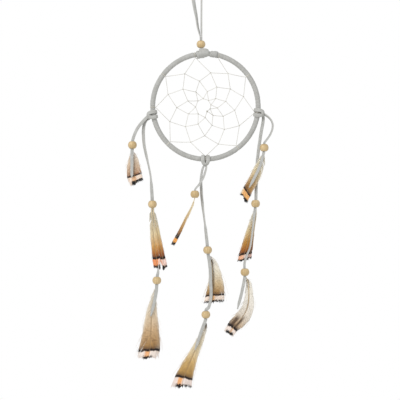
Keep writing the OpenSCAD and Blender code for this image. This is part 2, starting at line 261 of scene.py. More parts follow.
class Mesher:
    """Builds one piece's mesh with bmesh operators, and keeps its pattern values.

    Each vertex keeps three values that materials read: how far along the piece it is,
    how far across, and a value of its strand's own.
    """

    def __init__(self) -> None:
        """Start an empty mesh."""
        self.bm = bmesh.new()
        self.along = self.bm.verts.layers.float.new("along")
        self.across = self.bm.verts.layers.float.new("across")
        self.own = self.bm.verts.layers.float.new("own")

    def sweep(
        self, section: Outline, stations: Sequence[Station], own: float = 0.0,
        lengths: Sequence[float] | None = None, sides: Sequence[float] | None = None,
    ) -> None:
        """Roll a grid into a tube of one section through stations, and cap both ends.

        Args:
            section: Outline as (across, out) pairs in millimetres.
            stations: Places and directions, in millimetres.
            own: The strand's own value.
            lengths: What "along" says at each station; the running length if left out.
            sides: What "across" says at each station; the place in the section if left out.
        """
        reach = max(abs(a) for a, _ in section) or 1.0
        if lengths is None:
            lengths = [0.0]
            for a, b in zip(stations, stations[1:]):
                lengths.append(lengths[-1] + (b.at - a.at).length)
        columns, rows = len(section), len(stations) - 1
        part = Mesher()
        grid = bmesh.ops.create_grid(part.bm, x_segments=columns, y_segments=rows, size=1.0)["verts"]
        for vert in grid:
            a, o = section[round((vert.co.x + 1.0) / 2.0 * columns) % columns]
            row = round((vert.co.y + 1.0) / 2.0 * rows)
            station = stations[row]
            place = station.at + station.across * (a * station.wide) + station.out * (o * station.deep)
            vert.co = place * MM
            vert[part.along] = lengths[row]
            vert[part.across] = a / reach if sides is None else sides[row]
            vert[part.own] = own
        bmesh.ops.remove_doubles(part.bm, verts=part.bm.verts, dist=SAME)
        bmesh.ops.holes_fill(part.bm, edges=part.bm.edges, sides=0)
        part.outward()
        self.take(part)

    def take(self, part: Mesher) -> None:
        """Add another mesh's shape to this one, and free the other."""
        mesh = bpy.data.meshes.new("part")
        part.bm.to_mesh(mesh)
        part.bm.free()
        self.bm.from_mesh(mesh)
        bpy.data.meshes.remove(mesh)

    def finish(self, name: str, material: bpy.types.Material) -> bpy.types.Object:
        """Turn the mesh into an object in the scene.

        Args:
            name: The piece's name.
            material: Its finish.

        Returns:
            The new object, at the origin.
        """
        self.outward()
        mesh = bpy.data.meshes.new(name)
        self.bm.to_mesh(mesh)
        self.bm.free()
        mesh.polygons.foreach_set("use_smooth", [True] * len(mesh.polygons))
        mesh.materials.append(material)
        piece = bpy.data.objects.new(name, mesh)
        bpy.context.scene.collection.objects.link(piece)
        return piece

    def outward(self) -> None:
        """Recalculate the normals of closed shapes so that they point outwards."""
        bmesh.ops.recalc_face_normals(self.bm, faces=self.bm.faces)


# ---------------------------------------------------------------- finishes


class Shader:
    """A small builder for one material's nodes."""

    def __init__(self, name: str) -> None:
        """Start a material with a Principled shader and its output."""
        self.material = bpy.data.materials.new(name)
        self.material.use_nodes = True
        self.nodes = self.material.node_tree.nodes
        self.links = self.material.node_tree.links
        self.nodes.clear()
        self.surface = self.nodes.new("ShaderNodeBsdfPrincipled")
        output = self.nodes.new("ShaderNodeOutputMaterial")
        self.links.new(self.surface.outputs["BSDF"], output.inputs["Surface"])

    def set(self, **values: float | tuple[float, ...]) -> None:
        """Set plain values on the shader's own sockets, written with underscores."""
        for name, value in values.items():
            self.surface.inputs[name.replace("_", " ")].default_value = value

    def feed(self, socket: Socket, name: str) -> None:
        """Link a value to one of the shader's sockets."""
        self.links.new(socket, self.surface.inputs[name])

    def give(self, socket: Socket, given: Value | tuple[float, ...]) -> None:
        """Link a value to a socket, or set it where it is a plain number or colour."""
        if isinstance(given, bpy.types.NodeSocket):
            self.links.new(given, socket)
        elif isinstance(given, tuple):
            socket.default_value = (*given, 1.0)[: len(socket.default_value)]
        else:
            socket.default_value = given

    def node(
        self, kind: str, inputs: dict[str | int, Value | tuple[float, ...]], **settings: str
    ) -> bpy.types.Node:
        """Add one node.

        Args:
            kind: The end of its type's name.
            inputs: What its inputs are given, by name or number.
            **settings: Its own options.

        Returns:
            The node.
        """
        node = self.nodes.new(f"ShaderNode{kind}")
        for option, choice in settings.items():
            setattr(node, option, choice)
        for socket, given in inputs.items():
            self.give(node.inputs[socket], given)
        return node

    def place(self) -> Socket:
        """Return the Object coordinates."""
        return self.node("TexCoord", {}).outputs["Object"]

    def value(self, name: str) -> Socket:
        """Return a pattern value that the mesh keeps."""
        return self.node("Attribute", {}, attribute_name=name).outputs["Fac"]

    def math(self, operation: str, a: Value, b: Value = 0.0) -> Socket:
        """Return the result of a Math node."""
        return self.node("Math", {0: a, 1: b}, operation=operation).outputs[0]

    def times(self, a: Value, b: Value) -> Socket:
        """Return two values multiplied."""
        return self.math("MULTIPLY", a, b)

    def plus(self, a: Value, b: Value) -> Socket:
        """Return two values added."""
        return self.math("ADD", a, b)

    def spread(self, value: Socket, width: float) -> Socket:
        """Return a value from 0 to 1 as an offset either way, that width in all."""
        return self.times(self.math("SUBTRACT", value, 0.5), width)

    def vector(self, x: Value, y: Value, z: Value = 0.0) -> Socket:
        """Return a vector made of three values."""
        return self.node("CombineXYZ", {0: x, 1: y, 2: z}).outputs[0]

    def stretched(self, vector: Socket, scale: Point) -> Socket:
        """Return a vector scaled by three numbers."""
        return self.node("Mapping", {"Vector": vector, "Scale": scale}).outputs[0]

    def grain(self, vector: Socket, scale: float, detail: float = 3.0, rough: float = 0.55) -> Socket:
        """Return a noise pattern's value."""
        inputs = {"Vector": vector, "Scale": scale, "Detail": detail, "Roughness": rough}
        return self.node("TexNoise", inputs).outputs["Fac"]

    def ramp(self, value: Socket, stops: Sequence[tuple[float, Colour]]) -> Socket:
        """Return a colour read from stops of (place, colour)."""
        node = self.node("ValToRGB", {"Fac": value})
        elements = node.color_ramp.elements
        while len(elements) < len(stops):
            elements.new(0.5)
        for element, (place, colour) in zip(elements, stops):
            element.position = place
            element.color = (*colour, 1.0)
        return node.outputs["Color"]

    def window(self, value: Socket, low: float, high: float, soft: float) -> Socket:
        """Return 1 where the value lies between low and high, with soft edges."""
        return self.times(
            self.span(value, low - soft, low + soft), self.span(value, high + soft, high - soft)
        )

    def span(
        self, value: Socket, low: float, high: float, to_low: float = 0.0, to_high: float = 1.0
    ) -> Socket:
        """Return a value mapped from one range to another, eased and clamped."""
        inputs = {
            "Value": value, "From Min": low, "From Max": high, "To Min": to_low, "To Max": to_high,
        }
        return self.node("MapRange", inputs, interpolation_type="SMOOTHSTEP").outputs["Result"]

    def mix(self, share: Value, a: Socket | Colour, b: Socket | Colour, blend: str = "MIX") -> Socket:
        """Return two colours mixed."""
        return self.node("Mix", {0: share, 6: a, 7: b}, data_type="RGBA", blend_type=blend).outputs[2]

    def bump(self, height: Socket, distance: float, strength: float = 1.0) -> None:
        """Give the surface relief of that many metres."""
        inputs = {"Height": height, "Distance": distance, "Strength": strength}
        self.feed(self.node("Bump", inputs).outputs["Normal"], "Normal")


class Finish:
    """What every finish shares: a name in, a painted material out."""

    def build(self, name: str) -> bpy.types.Material:
        """Make the material.

        Args:
            name: The material's name.

        Returns:
            The material.
        """
        shader = Shader(name)
        self.paint(shader)
        return shader.material

    def paint(self, s: Shader) -> None:
        """Wire the finish's own colours, grain and relief."""
        raise NotImplementedError


@dataclass(frozen=True)
class SuedeFinish(Finish):
    """Split suede lace: a matt napped face with paler cut edges."""

    face: str = "B8B9B6"
    shade: str = "A2A29E"
    edge: str = "CCCBC7"

    def paint(self, s: Shader) -> None:
        """Paint the nap, the clouded dye and the pale cut edges."""
        place = s.place()
        cloudy = s.grain(place, 320.0, 4.0)
        nap = s.grain(s.stretched(place, (1.0, 1.0, 0.45)), 3800.0, 3.0, 0.7)
        base = s.mix(s.span(cloudy, 0.35, 0.7), linear(self.shade), linear(self.face))
        fibres = s.mix(s.span(nap, 0.3, 0.75), linear(self.shade), linear(self.edge))
        worn = s.mix(0.45, base, fibres)
        rim = s.span(s.math("ABSOLUTE", s.value("across")), 0.82, 1.0, 0.0, 0.55)
        lot = s.span(s.value("own"), 0.0, 1.0, 0.9, 1.06)
        coloured = s.mix(rim, worn, linear(self.edge))
        s.feed(s.mix(1.0, coloured, s.vector(lot, lot, lot), "MULTIPLY"), "Base Color")
        s.feed(s.span(nap, 0.2, 0.8, 0.82, 0.98), "Roughness")
        s.set(Sheen_Weight=0.35, Sheen_Roughness=0.4, Specular_IOR_Level=0.25)
        s.bump(s.plus(nap, s.times(cloudy, 0.6)), 0.00007, 0.6)


@dataclass(frozen=True)
class WoodFinish(Finish):
    """Turned pale wood with fine rings and flecks under thin wax."""

    pale: str = "D2B98C"
    body: str = "C1A778"
    ring: str = "9C7D4E"

    def paint(self, s: Shader) -> None:
        """Paint the growth rings and flecks."""
        place = s.place()
        sway = s.grain(place, 160.0, 2.0)
        waves = {
            "Vector": s.stretched(place, (1.0, 1.0, 0.35)), "Scale": 190.0, "Distortion": 5.0,
            "Detail": 2.0, "Detail Scale": 1.4,
        }
        growth = s.node("TexWave", waves, wave_type="BANDS", bands_direction="X").outputs["Fac"]
        fleck = s.grain(s.stretched(place, (1.0, 1.0, 0.12)), 2600.0, 2.0)
        body = s.mix(s.span(sway, 0.35, 0.7), linear(self.body), linear(self.pale))
        ringed = s.mix(s.span(growth, 0.35, 0.95, 0.0, 0.2), body, linear(self.ring))
        flecked = s.mix(s.span(fleck, 0.6, 0.78, 0.0, 0.5), ringed, linear(self.ring))
        s.feed(flecked, "Base Color")
        s.feed(s.span(fleck, 0.4, 0.8, 0.38, 0.6), "Roughness")
        s.set(Specular_IOR_Level=0.45, Coat_Weight=0.15, Coat_Roughness=0.35)
        s.bump(s.plus(growth, fleck), 0.00006, 0.5)


@dataclass(frozen=True)
class ThreadFinish(Finish):
    """Waxed thread, off-white, with painted shade between its plies."""

    face: str = "DFDCD1"
    shade: str = "B9B5AA"

    def paint(self, s: Shader) -> None:
        """Paint the plies, with painted shade in the grooves between them, and the wax."""
        place = s.place()
        fuzz = s.grain(place, 2400.0, 2.0)
        ply = s.math("SINE", s.times(s.value("along"), 7.0))
        soiled = s.span(s.grain(place, 70.0, 1.0), 0.35, 0.65)
        # painted shade: the ply mask darkens the thread's colour in the grooves between its two plies
        plied = s.span(ply, -1.0, 0.6, 0.35, 1.0)
        colour = s.mix(s.times(soiled, plied), linear(self.shade), linear(self.face))
        s.feed(s.mix(s.span(fuzz, 0.3, 0.7, 0.0, 0.35), colour, linear(self.shade)), "Base Color")
        s.feed(s.span(fuzz, 0.2, 0.8, 0.5, 0.75), "Roughness")
        s.set(Sheen_Weight=0.1)
        s.bump(s.plus(fuzz, ply), 0.00005, 0.5)


@dataclass(frozen=True)
class SteelFinish(Finish):
    """Plain drawn wire, which only shows where the wrapping parts."""

    face: str = "9A9C9E"

    def paint(self, s: Shader) -> None:
        """Paint the drawn surface."""
        drawn = s.grain(s.stretched(s.place(), (1.0, 0.2, 1.0)), 900.0, 2.0)
        s.feed(s.mix(drawn, linear(self.face), linear("7C7E80")), "Base Color")
        s.feed(s.span(drawn, 0.2, 0.8, 0.3, 0.45), "Roughness")
        s.set(Metallic=1.0)
        s.bump(drawn, 0.00002, 0.5)


@dataclass(frozen=True)
class FeatherFinish(Finish):
    """A barred game-bird feather, coloured along its length.

    Places along are shares of the feather's length from the quill, and places across
    run from -1 at one edge to 1 at the other.

    Attributes:
        patch_across: Where the band's orange patch lies.
        tip_across: Where the tip is black.
        slant: How much later the marks come on the left than on the right.
        curve: How much earlier the marks come at both edges.
        streaks: Dark streaks as (from, to, low across, high across).
        pale_edge: How pale the vane's edges are.
    """

    down: str = "C9C2B4"
    upper: str = "C3AE8E"
    middle: str = "A98A63"
    lower: str = "8E6A45"
    speck: str = "5F452F"
    bar: str = "1B0F0A"
    band: str = "E6CFC0"
    patch: str = "D99A52"
    tip: str = "0E0B0A"
    streak: str = "4A3524"
    speckled: float = 0.6
    bar_from: float = 0.83
    bar_to: float = 0.885
    tip_from: float = 0.955
    slant: float = 0.0
    curve: float = 0.01
    pale_edge: float = 0.35
    patch_across: tuple[float, float] = (-0.2, 0.3)
    tip_across: tuple[float, float] = (-1.3, 1.3)
    streaks: Sequence[tuple[float, float, float, float]] = ()

    def paint(self, s: Shader) -> None:
        """Paint the ground colours, specks, streaks, bar, band and tip."""
        along, across, own = s.value("along"), s.value("across"), s.value("own")
        drift = s.grain(s.vector(s.times(across, 2.0), s.times(along, 6.0)), 1.5, 2.0)
        bowed = s.times(s.times(across, across), self.curve)
        shifted = s.plus(s.plus(s.times(across, self.slant), bowed), s.spread(drift, 0.03))
        u = s.plus(s.plus(along, s.spread(own, 0.008)), shifted)
        grounds = (
            (0.0, self.down), (0.2, self.down), (0.42, self.upper), (0.64, self.middle),
            (self.bar_from - 0.06, self.lower), (self.bar_from, self.speck),
        )
        ground = s.ramp(u, [(place, linear(code)) for place, code in grounds])
        at_edge = s.span(s.math("ABSOLUTE", across), 0.55, 1.0)
        rim = s.times(at_edge, s.span(u, 0.5, 0.75, 1.0, 0.45))
        ground = s.mix(s.times(rim, self.pale_edge), ground, linear("F1ECE2"))
        ripple = s.grain(s.vector(s.times(across, 3.2), s.times(along, 60.0), own), 1.0, 3.0, 0.6)
        cover = s.times(s.span(ripple, 0.46, 0.64), s.span(u, 0.35, 0.7, 0.0, self.speckled))
        marked = s.mix(cover, ground, linear(self.speck))
        for start, end, low, high in self.streaks:
            there = s.times(s.window(u, start, end, 0.06), s.window(across, low, high, 0.16))
            marked = s.mix(s.times(there, 0.9), marked, linear(self.streak))
        barred = s.mix(s.window(u, self.bar_from, self.bar_to, 0.008), marked, linear(self.bar))
        worn = s.grain(s.vector(s.times(across, 9.0), along, own), 2.0)
        patch_at = s.times(s.window(across, *self.patch_across, 0.1), s.span(worn, 0.3, 0.7, 0.65, 1.0))
        band = s.mix(patch_at, linear(self.band), linear(self.patch))
        banded = s.mix(s.span(u, self.bar_to - 0.005, self.bar_to + 0.008), barred, band)
        dipped = s.span(s.plus(u, s.spread(own, 0.02)), self.tip_from - 0.008, self.tip_from + 0.006)
        at_tip = s.times(dipped, s.window(across, *self.tip_across, 0.12))
        tipped = s.mix(at_tip, banded, linear(self.tip))
        streak = s.grain(s.vector(s.times(own, 40.0), s.times(along, 3.0)), 2.0)
        lit = s.mix(s.span(streak, 0.35, 0.8, 0.0, 0.3), tipped, linear("F4EADB"), "SOFT_LIGHT")
        dulled = s.mix(s.span(streak, 0.45, 0.2, 0.0, 0.3), lit, linear("A8967C"), "MULTIPLY")
        s.feed(dulled, "Base Color")
        s.feed(s.span(streak, 0.2, 0.8, 0.5, 0.72), "Roughness")
        s.set(Sheen_Weight=0.15, Sheen_Roughness=0.35, Specular_IOR_Level=0.35)


@dataclass(frozen=True)
class QuillFinish(Finish):
    """Horny quill and rachis, straw-pale and slightly glossy."""

    face: str = "DCCDAC"
    dark: str = "A0825A"

    def paint(self, s: Shader) -> None:
        """Paint the horn, darker towards the tip."""
        lines = s.grain(s.stretched(s.place(), (1.0, 1.0, 0.08)), 2600.0, 2.0)
        shade = s.mix(s.span(s.value("along"), 0.0, 0.7, 0.1, 0.9), linear(self.face), linear(self.dark))
        s.feed(s.mix(s.span(lines, 0.4, 0.7, 0.0, 0.3), shade, linear(self.dark)), "Base Color")
        s.feed(s.span(lines, 0.2, 0.8, 0.32, 0.5), "Roughness")
        s.bump(lines, 0.00003, 0.4)


class Stock(Enum):
    """The plain finishes that several pieces share."""

    LACE = SuedeFinish()
    WRAP = SuedeFinish(face="B5B5B2", shade="A2A29E", edge="C1C1BE")
    WOOD = WoodFinish()
    THREAD = ThreadFinish()
    STEEL = SteelFinish()
    QUILL = QuillFinish()


class Store:
    """Keeps each finish's material, so that pieces share it."""

    def __init__(self) -> None:
        """Start with no material made."""
        self.made: dict[str, bpy.types.Material] = {}

    def get(self, stock: Stock) -> bpy.types.Material:
        """Return the material of a shared finish, made on first use."""
        if stock.name not in self.made:
            self.made[stock.name] = stock.value.build(stock.name.lower())
        return self.made[stock.name]


# ---------------------------------------------------------------- the hoop and its web


@dataclass
class Hoop:
    """The wire hoop and the suede lace wound round it, in millimetres.

    Attributes:
        lap: How far each turn leans on the last one, in degrees.
        pinches: Where on the hoop the thread's turns pull the lace in, in degrees.
        pinch: How far they pull it in.
        pinch_reach: How far along the wire it shows.
        start_degrees: Where the winding starts and ends.
        uneven: How far a turn stands out or in.
    """

    centre: Vector
    ring_r: float
    wrap_r: float
    lace_w: float = 3.5
    lace_t: float = 0.85
    turns: int = 103
    per_turn: int = 22
    lap: float = 3.0
    pinches: Sequence[float] = ()
    pinch: float = 0.38
    pinch_reach: float = 0.65
    start_degrees: float = 84.0
    uneven: float = 0.04
    seed: int = 4

    def wire_point(self, degrees: float) -> Vector:
        """Return the wire's middle at an angle from +X towards +Z."""
        a = math.radians(degrees)
        return self.centre + Vector((math.cos(a), 0.0, math.sin(a))) * self.ring_r

    def local(self, degrees: float) -> tuple[Vector, Vector, Vector]:
        """Return the outward, depth and tangent directions at an angle."""
        a = math.radians(degrees)
        outward = Vector((math.cos(a), 0.0, math.sin(a)))
        return outward, Vector((0.0, 1.0, 0.0)), Vector((-math.sin(a), 0.0, math.cos(a)))

    def around(self, degrees: float, phase: float) -> tuple[Vector, Vector, Vector]:
        """Return the out, round and along directions at a phase about the wire.

        Args:
            degrees: The place's angle on the hoop.
            phase: The angle about the wire from the hoop's outside, in radians.

        Returns:
            The direction out from the wire, the one round it and the one along it.
        """
        outward, depth, tangent = self.local(degrees)
        out = outward * math.cos(phase) + depth * math.sin(phase)
        return out, depth * math.cos(phase) - outward * math.sin(phase), tangent

    def sunk(self, degrees: float) -> float:
        """Return how far the thread's turns pull the lace in at an angle."""
        near = min(abs((degrees - there + 180.0) % 360.0 - 180.0) for there in self.pinches)
        return self.pinch * math.exp(-((near * math.radians(self.ring_r) / self.pinch_reach) ** 2))

    def wrapping(self, material: bpy.types.Material) -> bpy.types.Object:
        """Wind the lace round the wire as one long overlapping helix.

        Args:
            material: The lace's finish.

        Returns:
            The wound lace.
        """
        rng = random.Random(self.seed)
        stations: list[Station] = []
        tilt = math.radians(self.lap)
        count = self.turns * self.per_turn
        slack = [rng.uniform(-1.0, 1.0) for _ in range(self.turns + 2)]
        for i in range(count + 1):
            phase = FULL_TURN * i / self.per_turn
            turn = i / self.per_turn
            now = lerp(slack[int(turn)], slack[int(turn) + 1], turn % 1.0)
            degrees = self.start_degrees + 360.0 * i / count + 0.22 * now
            out, round_way, tangent = self.around(degrees, phase)
            r = self.wrap_r - self.lace_t / 2.0 + self.uneven * now - self.sunk(degrees)
            step = tangent * (FULL_TURN * self.ring_r / self.turns) + round_way * (FULL_TURN * r)
            heading = step.normalized()
            leaning = heading.cross(out).normalized() * math.cos(tilt) + out * math.sin(tilt)
            face = leaning.cross(heading).normalized()
            stations.append(Station(self.wire_point(degrees) + out * r, leaning, face, 1.0 + 0.05 * now))
        mesher = Mesher()
        mesher.sweep(rounded_strip(self.lace_w, self.lace_t, 12), stations, own=0.5)
        return mesher.finish("hoop_lace_wrapping", material)

    def band(
        self, mesher: Mesher, degrees: float, section: Outline, radius: float, drift: float = 0.0,
        lean: tuple[float, float] = (0.0, 0.0), phases: tuple[float, float] = (-200.0, 200.0),
        own: float = 0.5,
    ) -> None:
        """Lay one turn of lace round the wrapped wire.

        Args:
            mesher: The mesh it goes into.
            degrees: Where on the hoop it lies.
            section: The lace's own section.
            radius: From the wire's middle to the lace's middle.
            drift: How far it moves along the wire from end to end.
            lean: How far the turn stands off the wire's middle, outward and to the back.
            phases: Where it starts and ends, in degrees from the outside of the hoop.
            own: The strand's own value.
        """
        stations: list[Station] = []
        span = math.radians(phases[1] - phases[0]) * radius
        for k in range(BAND_STEPS + 1):
            share = k / BAND_STEPS
            there = degrees + math.degrees(drift * (share - 0.5) / self.ring_r)
            out, round_way, tangent = self.around(there, math.radians(lerp(*phases, share)))
            heading = (round_way * span + tangent * drift).normalized()
            across = heading.cross(out).normalized()
            tuck = 0.45 * (1.0 - smooth(min(share, 1.0 - share) * 12.0))
            outward, depth, _ = self.local(there)
            at = self.wire_point(there) + out * (radius - tuck) + outward * lean[0] + depth * lean[1]
            stations.append(Station(at, across, across.cross(heading).normalized()))
        mesher.sweep(section, stations, own)

    def tucked_end(self, degrees: float, width: float, material: bpy.types.Material) -> bpy.types.Object:
        """Lay the wrapping's end turns, one crossing the other at a slant.

        Args:
            degrees: Where on the hoop they lie.
            width: How much of the wire they cover.
            material: The lace's finish.

        Returns:
            The end turns.
        """
        mesher = Mesher()
        arc = math.degrees(1.0 / self.ring_r)
        under = crowned_strip(width * 0.75, self.lace_t, 0.2)
        over = crowned_strip(width * 0.95, self.lace_t, 0.35)
        self.band(mesher, degrees + 2.6 * arc, under, self.wrap_r + 0.05, drift=-1.6, own=0.4)
        self.band(mesher, degrees - 0.3 * arc, over, self.wrap_r + 0.3, drift=-2.2, phases=(-150.0, 160.0))
        return mesher.finish("wrapping_end", material)


def crowned_strip(
    width: float, thickness: float, crown: float, tilt: float = 0.0, count: int = 16
) -> list[tuple[float, float]]:
    """Return a lace's section that is raised in its middle.

    Args:
        width: Across the lace.
        thickness: Through the lace.
        crown: How far the middle stands above the edges.
        tilt: How far one edge stands above the middle and the other below it.
        count: Points round the outline.

    Returns:
        Pairs of (across, out).
    """
    flat = rounded_strip(width, thickness, count)
    return [(a, o + crown * (1.0 - (2.0 * a / width) ** 2) - tilt * 2.0 * a / width) for a, o in flat]


@dataclass
class Web:
    """The thread web: one thread that hooks on from stitch to stitch, in millimetres."""

    hoop: Hoop
    angles: Sequence[float]
    thread_d: float = 0.5
    last: int = 46
    pull: float = 0.845
    pull_slope: float = 0.0028
    pull_bend: float = 0.00025

    def flat(self, n: int) -> Vector:
        """Return stitch n in the hoop's plane, from the hoop's middle."""
        rounds = len(self.angles)
        if n < rounds:
            a = math.radians(self.angles[n])
            r = self.hoop.ring_r - self.hoop.wrap_r - self.thread_d / 2.0 - 0.1
            return Vector((math.cos(a), 0.0, math.sin(a))) * r
        m = n - 12
        drawn = self.pull - self.pull_slope * m - self.pull_bend * m * m
        return (self.flat(n - rounds) + self.flat(n - rounds + 1)) * (drawn / 2.0)

    def depth(self, n: int) -> float:
        """Return how far behind the hoop's middle plane stitch n lies."""
        rounds = len(self.angles)
        if n < rounds:
            return 0.0
        lift = self.thread_d + 0.05
        mean = (self.depth(n - rounds) + self.depth(n - rounds + 1)) / 2.0
        return mean + (lift if (n // rounds) % 2 == 1 else -lift)

    def stitch(self, n: int, depth: float | None = None) -> Vector:
        """Return the place of stitch n, at its own depth or another."""
        place = self.hoop.centre + self.flat(n)
        place.y += self.depth(n) if depth is None else depth
        return place

    def route(self) -> list[Vector]:
        """Return the thread's corners from the first hitch to the last stitch."""
        rounds = len(self.angles)
        corners: list[Vector] = []
        for n in range(self.last + 1):
            corners.append(self.stitch(n))
            if n + rounds <= self.last:
                corners.append(self.stitch(n + rounds, (self.depth(n) + self.depth(n + 1)) / 2.0))
        return corners

    def two_ply(self, step: float = 0.36, pitch: float = 1.7) -> list[Station]:
        """Return stations along the thread whose sides turn, as two twisted plies do."""
        stations: list[Station] = []
        corners = self.route()
        run = 0.0
        for a, b in zip(corners, corners[1:]):
            way = b - a
            heading = way.normalized()
            side = heading.cross(FRONT).normalized()
            count = max(2, round(way.length / step))
            for k in range(count):
                share = (k + 0.5) / count
                sag = math.sin(share * math.pi) * 0.012 * way.length
                at = a + way * share + Vector((0.0, 0.0, -sag))
                across = turned(side, heading, 360.0 * run / pitch)
                stations.append(Station(at, across, across.cross(heading)))
                run += way.length / count
        return stations

    def hooks(self, mesher: Mesher) -> None:
        """Turn the thread once round the stretch it hooks over, at each stitch."""
        rounds = len(self.angles)
        count, turns = 14, 1.3
        for n in range(rounds, self.last + 1):
            hooked = (self.depth(n - rounds) + self.depth(n - rounds + 1)) / 2.0
            middle = self.stitch(n, (self.depth(n) + hooked) / 2.0)
            inward = (self.hoop.centre - middle).normalized()
            side = inward.cross(FRONT).normalized()
            stations: list[Station] = []
            for k in range(count + 1):
                phase = FULL_TURN * turns * k / count
                out = inward * math.cos(phase) * 0.42 + FRONT * math.sin(phase) * 0.62
                at = middle + out + side * lerp(-0.26, 0.26, k / count)
                stations.append(Station(at, side, out.normalized()))
            mesher.sweep(round_section(self.thread_d * 0.82, 6), stations)

    def thread(self, material: bpy.types.Material) -> bpy.types.Object:
        """Make the whole web of thread.

        Args:
            material: The thread's finish.

        Returns:
            The web.
        """
        mesher = Mesher()
        half = self.thread_d / 2.0
        quarter = ((1.0, 0.0), (0.72, 0.5), (0.0, 0.42), (-0.72, 0.5))
        ply = [(x * half * way, y * half * way) for way in (1.0, -1.0) for x, y in quarter]
        mesher.sweep(ply, self.two_ply())
        self.hooks(mesher)
        return mesher.finish("web_thread_plied", material)

    def hitches(self, material: bpy.types.Material) -> bpy.types.Object:
        """Make the thread's turns round the wrapped hoop.

        Args:
            material: The thread's finish.

        Returns:
            The hitches.
        """
        mesher = Mesher()
        section = round_section(self.thread_d * 0.9, 8)
        for angle in self.angles:
            for drift, lift in ((0.42, 0.06), (-0.42, 0.14)):
                self.hoop.band(mesher, angle, section, self.hoop.wrap_r + lift - 0.12, drift)
        return mesher.finish("web_hitch_turns", material)

    def centre_knot(self, material: bpy.types.Material) -> bpy.types.Object:
        """Make the small overhand knot where the thread ends.

        Args:
            material: The thread's finish.

        Returns:
            The knot.
        """
        middle = self.stitch(self.last) - Vector((0.0, 0.0, self.thread_d))
        line: list[Vector] = []
        count, size = 60, 0.21
        for k in range(count + 1):
            a = FULL_TURN * k / count
            x, z = math.sin(a) + 2.0 * math.sin(2.0 * a), math.cos(a) - 2.0 * math.cos(2.0 * a)
            line.append(middle + Vector((x, -math.sin(3.0 * a), z)) * size)
        stations: list[Station] = []
        for at, heading in zip(line, headings(line)):
            across = heading.cross(UP + FRONT * 0.3).normalized()
            stations.append(Station(at, across, across.cross(heading)))
        mesher = Mesher()
        mesher.sweep(round_section(self.thread_d * 0.8, 8), stations)
        return mesher.finish("web_end_knot", material)


# ---------------------------------------------------------------- ties and the loop's knot


@dataclass
class LarksHead:
    """A folded lace hitched to the hoop. Each half is given in the hoop's own directions.

    The half route lists (outward, depth, along the wire) in millimetres, from the tail
    under the bight round the wire to the middle of the bight.
    """

    hoop: Hoop
    degrees: float
    lace_w: float = 3.3
    lace_t: float = 1.1
    half: Sequence[Point] = (
        (5.2, 0.3, 0.7), (3.4, 1.7, 0.8), (1.7, 2.85, 1.1), (-1.2, 3.1, 1.6), (-3.2, 0.7, 2.0),
        (-2.3, -2.35, 2.35), (0.4, -3.35, 2.45), (2.9, -3.25, 2.1), (4.6, -2.9, 1.2), (5.1, -2.7, 0.0),
    )

    def build(self, name: str, material: bpy.types.Material) -> bpy.types.Object:
        """Make the tie as one strip of lace.

        Args:
            name: The piece's name.
            material: The lace's finish.

        Returns:
            The tie.
        """
        outward, depth, tangent = self.hoop.local(self.degrees)
        whole = [*self.half, *[(x, y, -z) for x, y, z in reversed(self.half[:-1])]]
        line = Route(whole).spaced(0.4)
        frame = Matrix((outward, depth, tangent)).transposed()
        middle = self.hoop.wire_point(self.degrees)
        stations: list[Station] = []
        for at, heading in zip(line, headings(line)):
            out = Vector((at.x, at.y, 0.0)).normalized()
            across = heading.cross(out).normalized()
            stations.append(
                Station(middle + frame @ at, frame @ across, frame @ across.cross(heading).normalized())
            )
        mesher = Mesher()
        mesher.sweep(crowned_strip(self.lace_w, self.lace_t, 0.12), stations, own=0.55)
        return mesher.finish(name, material)


@dataclass
class TopKnot:
    """The loop's knot round the hoop: a round lump of folded lace with a turn on its left."""

    hoop: Hoop
    lump_degrees: float = 91.7
    turn_degrees: float = 97.8

    def build(self, material: bpy.types.Material) -> bpy.types.Object:
        """Make the knot.

        Args:
            material: The lace's finish.

        Returns:
            The knot.
        """
        mesher = Mesher()
        r = self.hoop.wrap_r
        arc = math.degrees(1.0 / self.hoop.ring_r)
        turn = crowned_strip(3.3, 1.1, 0.3)
        lump = crowned_strip(8.8, 1.3, 0.95, 0.35, 20)
        bulge = crowned_strip(3.8, 1.2, 0.4, 0.1)
        self.hoop.band(
            mesher, self.turn_degrees, turn, r + 0.6, drift=0.6, lean=(-0.55, -0.2), own=0.45
        )
        self.hoop.band(
            mesher, self.lump_degrees, lump, r + 0.45, drift=0.5, lean=(0.75, -0.3), own=0.6
        )
        self.hoop.band(
            mesher, self.lump_degrees + 1.6 * arc, bulge, r + 0.55, drift=-0.9,
            lean=(-0.25, -0.15), own=0.5,
        )
        return mesher.finish("loop_knot", material)


# ---------------------------------------------------------------- laces


